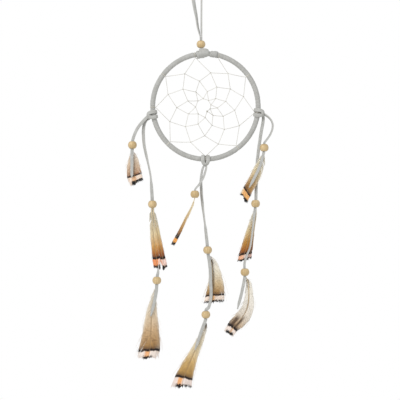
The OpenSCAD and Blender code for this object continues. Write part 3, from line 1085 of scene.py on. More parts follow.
@dataclass
class Lace:
    """A flat suede lace on its route.

    Attributes:
        name: The piece's name.
        route: Points in millimetres, from the end it hangs by.
        turn: How its flat side is turned from the front, as (share of length, degrees).
        sways: How much its edges wander.
        taper: Over what length its last end is cut to a point.
    """

    name: str
    route: Sequence[Point]
    turn: Sequence[tuple[float, float]]
    lace_w: float = 3.0
    lace_t: float = 1.2
    sways: float = 0.12
    taper: float = 0.0
    own: float = 0.5
    seed: int = 1
    path: list[Vector] = field(default_factory=list)

    def build(self, material: bpy.types.Material) -> bpy.types.Object:
        """Make the lace's mesh and keep its centreline.

        Args:
            material: The lace's finish.

        Returns:
            The lace.
        """
        line = Route(self.route).spaced(0.9)
        stations: list[Station] = []
        last = len(line) - 1
        for i, (at, heading) in enumerate(zip(line, headings(line))):
            share = i / last
            flat = heading.cross(FRONT).normalized()
            across = turned(flat, heading, along_table(self.turn, share))
            wander = noise.noise(Vector((i * 0.11, self.seed * 7.3, 0.0)))
            cut = lerp(0.3, 1.0, smooth((last - i) * 0.9 / self.taper)) if self.taper else 1.0
            stations.append(
                Station(
                    at + across * (wander * self.sways), across, across.cross(heading).normalized(),
                    cut * (1.0 + 0.05 * noise.noise(Vector((i * 0.23, self.seed * 3.1, 4.0)))),
                )
            )
        self.path = [s.at * MM for s in stations]
        mesher = Mesher()
        mesher.sweep(rounded_strip(self.lace_w, self.lace_t), stations, self.own)
        return mesher.finish(self.name, material)


# ---------------------------------------------------------------- beads


@dataclass
class Bead:
    """A turned wooden bead with a drilled hole."""

    name: str
    middle: Vector
    diameter: float
    hole_d: float = 4.2
    seed: int = 1

    def build(self, material: bpy.types.Material) -> bpy.types.Object:
        """Spin the bead from its profile, with a softened rim.

        Args:
            material: The wood's finish.

        Returns:
            The bead.
        """
        rng = random.Random(self.seed)
        mesher = Mesher()
        bm = mesher.bm
        r, hole = self.diameter / 2.0, self.hole_d / 2.0
        rim = math.asin(hole / r)
        rows = 18
        angles = [lerp(rim, math.pi - rim, k / rows) for k in range(rows + 1)]
        profile = [(r * math.sin(a), r * math.cos(a)) for a in angles]
        profile += [(hole, lerp(profile[-1][1], profile[0][1], k / 4.0)) for k in (1, 2, 3)]
        verts = [bm.verts.new(Vector((x, 0.0, z)) * MM) for x, z in profile]
        edges = [bm.edges.new((a, b)) for a, b in zip(verts, [*verts[1:], verts[0]])]
        bmesh.ops.spin(
            bm, geom=[*verts, *edges], cent=(0.0, 0.0, 0.0), axis=UP, angle=FULL_TURN, steps=40,
            use_merge=True,
        )
        bmesh.ops.remove_doubles(bm, verts=bm.verts, dist=1e-6)
        rims = [e for e in bm.edges if len(e.link_faces) == 2 and e.calc_face_angle() > 0.7]
        bmesh.ops.bevel(
            bm, geom=rims, offset=0.3 * MM, segments=3, profile=0.5, affect="EDGES", material=-1,
            offset_type="OFFSET", clamp_overlap=True,
        )
        squash = 1.0 - 0.02 * rng.random()
        bmesh.ops.scale(bm, vec=(1.0, 1.0, squash), verts=bm.verts)
        bmesh.ops.rotate(bm, matrix=Matrix.Rotation(rng.uniform(0.0, FULL_TURN), 3, "Z"), verts=bm.verts)
        bmesh.ops.translate(bm, vec=self.middle * MM, verts=bm.verts)
        return mesher.finish(self.name, material)


# ---------------------------------------------------------------- feathers


@dataclass
class Feather:
    """One feather that hangs by its quill from a bead.

    Rows are (down, spine, left, right) in millimetres from the bead's middle: how far
    below it, where the rachis runs across, and how wide the vane is on each side.

    Attributes:
        body: The body it rides on, where that isn't called what the feather is.
        seat: How far behind (+) or in front (-) of the bead's middle the quill lies.
        turn: How far the vane is turned about its rachis, in degrees.
        tip_slant: How much higher the cut tip is on the right than on the left.
        ragged: How uneven the tip is.
        downy: Share of the vane that is down.
        stray: How far its barbs stray.
    """

    name: str
    bead: str
    finish: FeatherFinish
    rows: Sequence[tuple[float, float, float, float]]
    body: str = ""
    seat: float = 1.35
    lie: float = 0.0
    turn: float = 0.0
    bow: float = 0.6
    camber: float = 0.07
    tip_slant: float = 0.0
    ragged: float = 0.9
    downy: float = 0.22
    stray: float = 1.0
    splits: int = 5
    barb_pitch: float = 0.3
    seed: int = 1
    _line: list[Vector] = field(default_factory=list)
    _shares: list[float] = field(default_factory=list)

    def lay_out(self, middle: Vector) -> None:
        """Work out the rachis' line from the bead's middle.

        Args:
            middle: The bead's middle.
        """
        points: list[Point] = []
        top, low = self.rows[0][0], self.rows[-1][0]
        for down, spine, _, _ in self.rows:
            share = (down - top) / (low - top)
            depth = self.seat + self.lie * smooth(share * 4.0) + self.bow * math.sin(math.pi * share)
            points.append((middle.x + spine, middle.y + depth, middle.z - down))
        self._line = Route(points).spaced(0.5)
        self._shares = [(row[0] - top) / (low - top) for row in self.rows]

    def length(self) -> float:
        """Return the rachis' length in millimetres."""
        return sum((b - a).length for a, b in zip(self._line, self._line[1:]))

    def spot(self, share: float) -> tuple[Vector, Vector, Vector, Vector]:
        """Return a place on the rachis with its heading, side and face directions.

        Args:
            share: Share of the rachis' length; past 1 goes straight on.

        Returns:
            The place, heading, side and face.
        """
        last = len(self._line) - 1
        where = min(max(share, 0.0), 1.0) * last
        i = min(int(where), last - 1)
        at = self._line[i].lerp(self._line[i + 1], where - i)
        heading = (self._line[min(i + 2, last)] - self._line[max(i - 1, 0)]).normalized()
        if share > 1.0:
            at = at + heading * ((share - 1.0) * self.length())
        side = turned(FRONT.cross(heading).normalized(), heading, self.turn)
        return at, heading, side, heading.cross(side).normalized()

    def half(self, share: float, way: int) -> float:
        """Return the vane's width on one side at a share of its length."""
        column = 3 if way > 0 else 2
        table = [(s, row[column]) for s, row in zip(self._shares, self.rows)]
        return along_table(table, min(1.0, max(0.0, share)))

    def shaft(self, material: bpy.types.Material) -> bpy.types.Object:
        """Make the quill and rachis, which taper to the tip.

        Args:
            material: The quill's finish.

        Returns:
            The shaft.
        """
        stations: list[Station] = []
        shares: list[float] = []
        count = 48
        for k in range(count + 1):
            share = k / count * 0.985
            at, _, side, face = self.spot(share)
            size = lerp(1.0, 0.26, smooth(share * 0.9 + 0.05))
            stations.append(Station(at + face * 0.04, side, face, size, size * 0.85))
            shares.append(share)
        top = stations[0]
        into_bead = Vector((0.0, 0.0, 0.7))
        stations.insert(0, Station(top.at + into_bead, top.across, top.out, 0.85, 0.75))
        shares.insert(0, -0.02)
        mesher = Mesher()
        mesher.sweep(round_section(0.9, 8), stations, 0.5, shares)
        return mesher.finish(f"{self.name}_shaft", material)

    def barb(
        self, mesher: Mesher, rng: random.Random, root: float, way: int, pull: float, lift: float,
        loose: bool = False,
    ) -> None:
        """Grow one barb from the rachis to the vane's edge.

        Args:
            mesher: The mesh it goes into.
            rng: The feather's own source of chance.
            root: Where it leaves the rachis, as a share.
            way: -1 for the left side, 1 for the right.
            pull: How far its end is drawn along the vane by its neighbours.
            lift: How far it lies out of the vane's face.
            loose: Whether it is a fine barb that stands out past the edge.
        """
        length = self.length()
        slope = lerp(1.5, 2.8, smooth(root * 1.2))
        reach = self.half(root, way)
        reach = self.half(min(1.0, root + reach * slope / length), way)
        ahead = reach * slope / length + pull
        reach *= rng.uniform(1.08, 1.35) if loose else rng.uniform(0.95, 1.02)
        end = 1.0 - self.tip_slant * way * 0.5 / length + rng.gauss(0.0, self.ragged) / length * 0.5
        cut = 1.0
        if root + ahead > end:
            cut = max(0.12, (max(0.0, end - root) / ahead) ** (1.0 / SWEEP_ON))
        own = rng.random()
        stations: list[Station] = []
        shares: list[tuple[float, float]] = []
        count = len(BARB_WIDTHS) - 1
        wave = rng.uniform(-1.0, 1.0) * 0.08 * self.stray
        spread = lerp(1.55, 1.0, smooth((root - 0.5) * 2.2))
        for k in range(count + 1):
            s = cut * k / count
            out = 1.0 - (1.0 - s) ** spread
            at_share = root + ahead * s**SWEEP_ON
            at, _, side, face = self.spot(at_share)
            bend = face * (-self.camber * (reach * out) ** 2 / 6.0 + lift * s + wave * math.sin(s * 5.0))
            stations.append(Station(at + side * (way * reach * out) + bend, side, face))
            shares.append((at_share, way * out))
        face_out(stations)
        for station, width in zip(stations, BARB_WIDTHS):
            station.wide = width
            station.deep = 0.5 + 0.5 * width
        self.lay(mesher, stations, shares, own, 0.14 if loose else 0.46)

    def tuft(self, mesher: Mesher, rng: random.Random, root: float, way: int) -> None:
        """Grow one soft, curling thread of down near the quill.

        Args:
            mesher: The mesh it goes into.
            rng: The feather's own source of chance.
            root: Where it leaves the rachis, as a share.
            way: -1 for the left side, 1 for the right.
        """
        reach = max(1.2, self.half(min(1.0, root + 0.12), way)) * rng.uniform(0.8, 1.2)
        at, heading, side, face = self.spot(root)
        way_out = (side * way + heading * rng.uniform(0.5, 1.6)).normalized()
        curl = Vector((rng.uniform(-0.6, 0.6), rng.uniform(-0.4, 0.4), rng.uniform(-0.3, 0.3)))
        stations: list[Station] = []
        shares: list[tuple[float, float]] = []
        count = 5
        for k in range(count + 1):
            s = k / count
            place = at + way_out * (reach * s) + curl * (0.7 * s * s) + face * rng.uniform(-0.1, 0.1)
            stations.append(Station(place, side, face, 1.0 - 0.5 * s, 1.0))
            shares.append((root + 0.1 * s, way * s))
        face_out(stations)
        self.lay(mesher, stations, shares, rng.random(), 0.14)

    def lay(
        self, mesher: Mesher, stations: Sequence[Station], shares: Outline, own: float, width: float,
    ) -> None:
        """Sweep one barb, and keep where it lies on the vane.

        Args:
            mesher: The mesh it goes into.
            stations: The barb's own places.
            shares: (along, across) on the vane at each place.
            own: The barb's own value.
            width: Its width at its widest, in millimetres.
        """
        half, thick = width / 2.0, 0.05
        section = [(half, 0.0), (0.0, thick), (-half, 0.0), (0.0, -thick)]
        mesher.sweep(section, stations, own, *zip(*shares))

    def vane(self, material: bpy.types.Material) -> bpy.types.Object:
        """Grow every barb of the vane, parted here and there, and the down above it.

        Args:
            material: The feather's own finish.

        Returns:
            The vane.
        """
        rng = random.Random(self.seed)
        mesher = Mesher()
        length = self.length()
        start = 0.05
        count = int(length * (1.0 - start) / self.barb_pitch)
        for way in (-1, 1):
            parts = sorted(rng.uniform(start, 1.0) for _ in range(self.splits))
            offsets = [rng.uniform(-1.0, 1.0) for _ in range(self.splits + 1)]
            for k in range(count):
                root = lerp(start, 0.99, (k + rng.uniform(-0.25, 0.25)) / count)
                group = sum(1 for part in parts if part < root)
                low = parts[group - 1] if group > 0 else start
                high = parts[group] if group < len(parts) else 1.0
                gather = ((low + high) / 2.0 - root) * 0.1 * self.stray
                pull = gather + offsets[group] * 0.5 * self.stray / length
                lift = offsets[group] * 0.22 + rng.uniform(-0.06, 0.06)
                if root < self.downy and rng.random() < 0.45:
                    self.tuft(mesher, rng, root, way)
                    continue
                self.barb(mesher, rng, root, way, pull, lift)
                if rng.random() < 0.12:
                    self.barb(mesher, rng, root, way, rng.uniform(-1.5, 0.5) / length, lift, loose=True)
        return mesher.finish(f"{self.name}_vane", material)


# ---------------------------------------------------------------- the whole hanging


TIES = {"left": -171.0, "bottom": -90.0, "right": -7.0}
TIE_REACH = 4.1
WRAP_END = 79.3
HITCHES = (75.0, 36.0, TIES["right"], -52.0, TIES["bottom"], -135.0, -179.0, -217.0, -258.5)

LOOP_ROUTE: tuple[Point, ...] = (
    (2.35, 0.0, -61.4), (2.35, 0.0, -54.0), (2.3, 0.0, -49.5), (1.55, 0.0, -46.0), (0.1, 0.0, -40.0),
    (-1.2, 0.0, -31.0), (-2.9, 0.0, -22.0), (-4.1, 0.0, -14.0), (-4.4, 0.0, -8.0), (-3.3, 0.0, -3.0),
    (-1.9, 0.0, -0.4), (-0.2, 0.0, 0.6), (1.5, 0.0, -0.2), (2.9, 0.0, -2.8), (3.6, 0.0, -7.5),
    (3.5, 0.0, -16.0), (3.4, 0.0, -30.0), (3.4, 0.0, -42.0), (3.65, 0.0, -49.5), (3.65, 0.0, -54.0),
    (3.65, 0.0, -61.4),
)


class Kind(Enum):
    """The strands there are, by the endings of their bodies', nodes' and beads' names."""

    LONG = (("long", "end"), ("long_lace", "end_lace"), ("middle_bead", "end_bead"))
    SHORT = (("short", "short_feather"), ("short_lace", "short_tail"), ("short_bead",))
    CUT_SHORT = (("short",), ("short_lace",), ("short_bead",))


@dataclass
class Strand:
    """One lace that hangs from a tie.

    Attributes:
        side: Which tie it hangs from.
        under: (depth, along the wire) where the lace comes out from under the bight.
        route: The lace's points below the tie, in millimetres.
        turn: How its flat side turns, as (share of length, degrees).
        kind: What it rides on, replaces and carries.
        bend: Heights between which it would bend, in millimetres, where it has two bodies; not used.
    """

    side: str
    kind: Kind
    under: tuple[float, float]
    route: Sequence[Point]
    turn: Sequence[tuple[float, float]]
    bend: tuple[float, float] = (0.0, 0.0)
    seed: int = 1
    taper: float = 7.0

    def names(self) -> list[list[str]]:
        """Return the names of its bodies, its nodes and its beads."""
        return [[f"{self.side}_{ending}" for ending in endings] for endings in self.kind.value]


STRANDS: tuple[Strand, ...] = (
    Strand(
        "left", Kind.SHORT, (-0.9, 0.2),
        (
            (-47.0, -1.2, -123.0), (-49.8, -1.5, -126.0), (-52.5, -1.6, -129.3), (-55.0, -1.8, -133.0),
            (-57.0, -1.9, -137.5), (-58.6, -2.0, -142.5), (-59.0, -2.0, -147.0), (-59.2, -2.0, -151.0),
            (-59.4, -2.0, -159.0), (-59.5, -2.0, -168.0), (-59.5, -2.0, -176.5),
        ),
        ((0.0, 24.0), (0.2, 22.0), (0.4, 30.0), (0.6, 20.0), (1.0, 35.0)),
        (-150.0, -156.0), 2, 3.0,
    ),
    Strand(
        "left", Kind.LONG, (1.1, 2.4),
        (
            (-46.7, 1.15, -124.5), (-48.4, 1.2, -128.0), (-49.0, 1.2, -132.0), (-49.2, 1.2, -137.0),
            (-48.4, 1.0, -147.5), (-45.5, 1.0, -161.0), (-42.8, 1.0, -174.0), (-41.7, 1.0, -187.0),
            (-41.1, 1.0, -198.0), (-40.9, 1.0, -207.0), (-40.2, 1.0, -217.0), (-38.8, 1.0, -230.0),
            (-37.2, 1.0, -243.0),
            (-35.9, 1.0, -253.0), (-35.7, 1.0, -260.5), (-36.7, 1.0, -266.5), (-37.0, 1.0, -272.0),
            (-37.6, 1.0, -279.5), (-39.4, 1.0, -289.5), (-42.5, 1.0, -302.0),
        ),
        (
            (0.0, 24.0), (0.08, 22.0), (0.18, 45.0), (0.25, 70.0), (0.31, 70.0), (0.37, 18.0), (0.42, 8.0),
            (0.5, 16.0), (0.62, 60.0), (0.76, 74.0), (0.8, 24.0), (0.86, 10.0), (1.0, 32.0),
        ),
        (-256.0, -265.0), 3,
    ),
    Strand(
        "bottom", Kind.CUT_SHORT, (-0.7, -0.4),
        (
            (7.8, -0.9, -166.6), (7.0, -1.3, -170.5), (5.0, -2.2, -176.5), (1.5, -3.2, -182.5),
            (-2.2, -4.0, -187.0), (-2.5, -4.0, -191.0), (-2.6, -4.0, -194.6),
        ),
        ((0.0, 72.0), (0.4, 62.0), (0.8, 72.0), (1.0, 60.0)),
        (0.0, 0.0), 4, 0.0,
    ),
    Strand(
        "bottom", Kind.LONG, (0.8, 0.5),
        (
            (5.2, 0.9, -166.6), (3.8, 1.0, -171.5), (3.0, 1.0, -178.0), (3.3, 1.0, -188.0),
            (4.2, 1.0, -199.0), (5.7, 1.0, -212.0), (7.4, 1.0, -225.0), (8.6, 1.0, -236.0),
            (9.1, 1.0, -243.0), (10.2, 1.0, -250.0), (11.4, 1.0, -260.0), (11.7, 1.0, -271.0),
            (12.1, 1.0, -280.0), (11.6, 1.0, -287.5), (9.9, 1.0, -294.0), (7.7, 1.0, -296.1),
            (7.4, 1.0, -300.5), (7.2, 1.0, -305.0), (4.5, 1.0, -312.5), (1.2, 1.0, -322.0),
            (-2.5, 1.0, -332.5),
        ),
        (
            (0.0, 72.0), (0.05, 62.0), (0.12, 42.0), (0.2, 42.0), (0.27, 66.0), (0.32, 72.0), (0.36, 38.0),
            (0.42, 12.0), (0.5, 8.0), (0.6, 22.0), (0.74, 36.0), (0.8, 10.0), (0.86, 10.0), (1.0, 38.0),
        ),
        (-289.0, -298.0), 5,
    ),
    Strand(
        "right", Kind.SHORT, (-0.7, 0.3),
        (
            (61.6, -0.9, -120.0), (64.2, -1.2, -122.0), (66.6, -1.7, -125.0), (67.8, -2.3, -129.0),
            (67.2, -3.0, -133.5), (65.0, -3.6, -138.5), (61.6, -4.0, -143.2), (60.2, -4.0, -145.3),
            (60.0, -4.0, -149.5), (59.7, -4.0, -153.5), (58.4, -4.2, -159.0), (55.8, -4.4, -167.0),
            (51.5, -4.5, -176.0), (46.5, -4.5, -185.5),
        ),
        ((0.0, 60.0), (0.15, 72.0), (0.38, 68.0), (0.5, 48.0), (0.75, 46.0), (1.0, 40.0)),
        (-152.0, -158.0), 6,
    ),
    Strand(
        "right", Kind.LONG, (0.8, -1.0),
        (
            (59.4, 0.9, -121.6), (59.2, 1.0, -126.0), (57.8, 1.0, -133.5), (56.4, 1.0, -142.5),
            (54.9, 1.0, -153.0), (53.7, 1.0, -165.0), (53.2, 1.0, -178.0), (52.9, 1.0, -191.0),
            (52.4, 1.0, -201.0), (51.3, 1.0, -210.0), (50.1, 1.0, -220.0), (48.8, 1.0, -231.0),
            (47.2, 1.0, -240.0), (44.6, 1.0, -246.5), (42.5, 1.0, -253.5), (42.5, 1.0, -259.0),
            (42.9, 1.0, -264.0), (41.8, 1.0, -271.5), (39.3, 1.0, -283.0), (36.0, 1.0, -295.5),
        ),
        (
            (0.0, 35.0), (0.1, 24.0), (0.3, 35.0), (0.4, 30.0), (0.48, 45.0), (0.55, 72.0), (0.7, 72.0),
            (0.78, 58.0), (0.82, 35.0), (1.0, 38.0),
        ),
        (-249.0, -258.0), 7,
    ),
)

FEATHERS: tuple[Feather, ...] = (
    Feather(
        "left_short_feather", "left_short_bead",
        FeatherFinish(
            down="E6D8C8", upper="DCC5AD", middle="CFAE90", lower="BE9878", speck="84583E",
            bar_from=0.75, bar_to=0.79, tip_from=0.91, band="F2DDCB", patch="E8B484", slant=0.025,
            patch_across=(-0.5, 0.2), speckled=0.85, tip_across=(-0.7, 1.3), pale_edge=0.25,
        ),
        (
            (4.0, -0.1, 1.2, 1.4), (8.0, 0.3, 3.0, 3.6), (12.5, 0.5, 4.8, 5.2), (18.0, 0.7, 6.0, 6.0),
            (25.0, 1.4, 6.8, 6.8), (30.0, 2.3, 6.6, 6.8), (34.5, 3.4, 5.6, 5.8),
        ),
        tip_slant=2.0, downy=0.12, seed=11,
    ),
    Feather(
        "left_middle_feather_a", "left_middle_bead",
        FeatherFinish(
            down="BDB6A2", upper="DECBA4", middle="CD9A56", lower="AC6A2C", speck="6E3A18",
            bar_from=0.81, bar_to=0.85, tip_from=0.955, band="F8CDB8", patch="EC8436",
            patch_across=(-1.2, 0.5), speckled=0.2,
        ),
        (
            (3.6, -0.6, 0.6, 0.4), (9.5, -0.5, 2.2, 1.2), (16.5, 0.0, 2.6, 1.8), (32.0, 1.4, 2.9, 3.0),
            (48.0, 3.4, 3.3, 3.4), (58.0, 4.5, 3.2, 3.0),
        ),
        seat=-1.35, bow=-0.3, stray=1.3, downy=0.3, tip_slant=-1.5, seed=12,
    ),
    Feather(
        "left_middle_feather_b", "left_middle_bead",
        FeatherFinish(
            down="B9B29E", upper="D8C294", middle="C08A48", lower="985522", speck="5E2F14",
            bar_from=0.81, bar_to=0.85, tip_from=0.955, band="F4D3C8", patch="E8A888",
            patch_across=(-1.2, -0.5), speckled=0.25,
        ),
        (
            (3.6, 0.6, 0.4, 0.6), (9.5, 1.4, 1.2, 2.0), (16.5, 2.6, 1.8, 2.4), (32.0, 5.8, 3.0, 2.4),
            (48.0, 9.2, 3.2, 2.4), (58.0, 11.6, 2.3, 2.4),
        ),
        seat=-1.35, bow=-0.3, stray=1.3, downy=0.3, tip_slant=2.0, seed=13,
    ),
    Feather(
        "left_end_feather", "left_end_bead",
        FeatherFinish(
            down="E8E0D0", upper="DCC9AE", middle="C8A880", lower="AB8452", speck="65492F",
            bar_from=0.875, bar_to=0.905, tip_from=0.972, band="F4E6DC", patch="F2A860", slant=0.03,
            curve=-0.012, patch_across=(-0.42, 0.06), speckled=0.45, tip_across=(-0.55, 0.45),
            pale_edge=0.5,
        ),
        (
            (3.6, 0.0, 0.5, 0.5), (9.5, -1.3, 1.4, 1.6), (17.0, -3.2, 2.9, 3.0), (29.5, -4.8, 5.2, 5.4),
            (42.5, -5.2, 7.4, 7.2), (58.5, -5.9, 9.8, 9.1), (66.0, -7.0, 10.0, 8.2), (70.5, -7.8, 9.4, 7.0),
        ),
        tip_slant=2.4, splits=4, seed=14,
    ),
    Feather(
        "bottom_short_feather", "bottom_short_bead",
        FeatherFinish(
            down="D8C8A6", upper="CCAC74", middle="B8863E", lower="94602C", speck="3F2614",
            bar_from=0.79, bar_to=0.86, tip_from=0.945, band="ECA050", patch="F0A64C",
            patch_across=(-1.2, 1.2), pale_edge=0.1,
        ),
        (
            (3.6, -0.1, 0.8, 0.8), (10.5, -2.5, 2.2, 2.2), (21.5, -8.0, 3.2, 3.2), (35.0, -14.5, 4.0, 4.0),
            (43.5, -19.3, 4.2, 4.2), (45.5, -20.2, 3.8, 3.8),
        ),
        seat=0.0, turn=66.0, bow=0.0, camber=0.1, downy=0.05, ragged=0.9, splits=2, stray=0.5, seed=15,
    ),
    Feather(
        "bottom_middle_feather", "bottom_middle_bead",
        FeatherFinish(
            down="EEE8DC", upper="EBE0CA", middle="D6BC92", lower="B08A56", speck="6E5036",
            bar_from=0.84, bar_to=0.87, tip_from=0.962, band="F4E1D2", patch="F2B05A",
            patch_across=(-0.05, 0.2), speckled=0.25, slant=0.03, curve=-0.01, pale_edge=0.55,
            streaks=((-0.1, 0.24, -0.8, 0.25), (0.2, 0.7, -0.08, 0.1)),
        ),
        (
            (3.6, 0.3, 0.5, 0.8), (8.0, 2.2, 1.0, 4.4), (14.0, 3.7, 1.9, 6.4), (21.0, 4.6, 3.0, 8.2),
            (30.0, 5.0, 4.6, 10.0), (39.0, 4.8, 7.0, 10.6), (45.0, 4.5, 9.0, 10.0), (47.5, 4.4, 9.8, 9.0),
        ),
        tip_slant=1.8, downy=0.12, splits=4, seed=16,
    ),
    Feather(
        "bottom_end_feather", "bottom_end_bead",
        FeatherFinish(
            down="EAE0CE", upper="E2D2B0", middle="CCAA70", lower="B48E50", speck="6E5234",
            bar_from=0.85, bar_to=0.88, tip_from=0.968, band="F0E0D8", patch="EFA04A",
            patch_across=(-0.5, -0.08), speckled=0.2, slant=0.012, curve=-0.008,
            tip_across=(-0.6, 1.3), pale_edge=0.5, streaks=((-0.1, 0.15, -0.3, 1.3),),
        ),
        (
            (3.6, 0.1, 0.5, 0.5), (8.5, -0.6, 1.0, 2.0), (15.5, -2.6, 2.0, 3.0), (24.5, -6.1, 3.2, 3.8),
            (34.5, -10.6, 4.4, 4.6), (45.5, -15.4, 6.2, 6.4), (55.5, -19.3, 8.4, 8.4),
            (61.5, -21.1, 9.8, 9.4), (65.5, -22.0, 9.4, 9.0),
        ),
        ragged=1.4, tip_slant=2.5, splits=4, seed=17,
    ),
    Feather(
        "right_short_feather", "right_short_bead",
        FeatherFinish(
            down="E2DBC8", upper="DCCBA6", middle="C6A472", lower="A87C44", speck="5C3D22",
            bar_from=0.83, bar_to=0.86, tip_from=0.955, band="F3DCBC", patch="E8A24C",
            patch_across=(-0.75, 1.3), speckled=0.3, slant=-0.05, curve=0.0,
        ),
        (
            (4.0, 0.0, 0.8, 0.8), (7.5, -1.2, 1.8, 2.4), (12.5, -2.8, 3.2, 4.0), (22.0, -6.5, 4.4, 4.7),
            (30.5, -10.4, 4.4, 4.6), (38.5, -15.0, 4.4, 4.3), (44.0, -17.6, 4.4, 4.4),
            (46.2, -18.4, 4.2, 4.2),
        ),
        bow=0.2, tip_slant=-4.4, splits=3, seed=18,
    ),
    Feather(
        "right_middle_feather_a", "right_middle_bead",
        FeatherFinish(
            down="E0D9C8", upper="D8C294", middle="C08C3E", lower="A2601E", speck="6E3E16",
            bar_from=0.855, bar_to=0.89, tip_from=0.965, band="F5DAD0", patch="F0AE80", slant=0.045,
            patch_across=(-0.9, -0.1), speckled=0.2, curve=-0.01,
        ),
        (
            (3.6, -0.6, 0.5, 0.5), (10.0, -1.2, 2.2, 1.4), (18.0, -3.1, 3.0, 2.4), (28.0, -5.4, 3.9, 3.6),
            (38.0, -7.8, 4.5, 4.4), (46.0, -10.0, 4.8, 4.8), (51.5, -11.2, 5.0, 5.0),
        ),
        downy=0.35, stray=1.1, tip_slant=2.6, splits=3, seed=19,
        body="right_middle_feathers",
    ),
    Feather(
        "right_middle_feather_b", "right_middle_bead",
        FeatherFinish(
            down="D1C8B6", upper="C6AE82", middle="A87A38", lower="8C501C", speck="5E3614",
            bar_from=0.87, bar_to=0.91, tip_from=0.97, band="F2CFC6", patch="E8AD92",
            patch_across=(-1.2, 0.0), speckled=0.3,
        ),
        (
            (3.6, 0.6, 0.4, 0.3), (12.0, 0.4, 1.0, 0.4), (24.0, -1.4, 1.3, 0.5), (36.0, -2.8, 1.6, 0.7),
            (44.0, -4.2, 2.1, 1.2), (49.5, -5.1, 2.1, 1.5),
        ),
        lie=1.4, downy=0.3, stray=1.4, seed=20,
        body="right_middle_feathers",
    ),
    Feather(
        "right_end_feather", "right_end_bead",
        FeatherFinish(
            down="EAE4D8", upper="EBE5DB", middle="E0D5C6", lower="C0A484", speck="4E3828",
            bar_from=0.86, bar_to=0.895, tip_from=0.958, band="EFE0D6", patch="E2B48C",
            patch_across=(-0.15, 0.25), speckled=0.15, curve=-0.01, tip_across=(-0.75, 0.8),
            pale_edge=0.3,
            streaks=(
                (-0.1, 0.17, -0.5, 0.35), (0.17, 0.55, -0.05, 0.06), (0.7, 0.88, -0.8, -0.25),
                (0.66, 0.88, 0.02, 0.45),
            ),
        ),
        (
            (3.6, 0.4, 0.5, 0.5), (9.0, 2.7, 2.0, 3.0), (18.0, 3.6, 3.4, 3.8), (28.0, 3.1, 4.8, 5.8),
            (36.0, 0.8, 6.2, 6.8), (43.0, -4.0, 6.2, 6.2), (49.5, -10.0, 6.0, 5.6), (56.0, -14.6, 5.0, 4.6),
        ),
        downy=0.15, splits=4, seed=21,
    ),
)

BEADS: tuple[tuple[str, str], ...] = (
    ("top_bead", "top_bead"),
    *(
        (f"{side}_{place}_bead", f"{side}_{body}")
        for side in ("left", "bottom", "right")
        for place, body in (("short", "short"), ("middle", "long"), ("end", "end"))
    ),
)


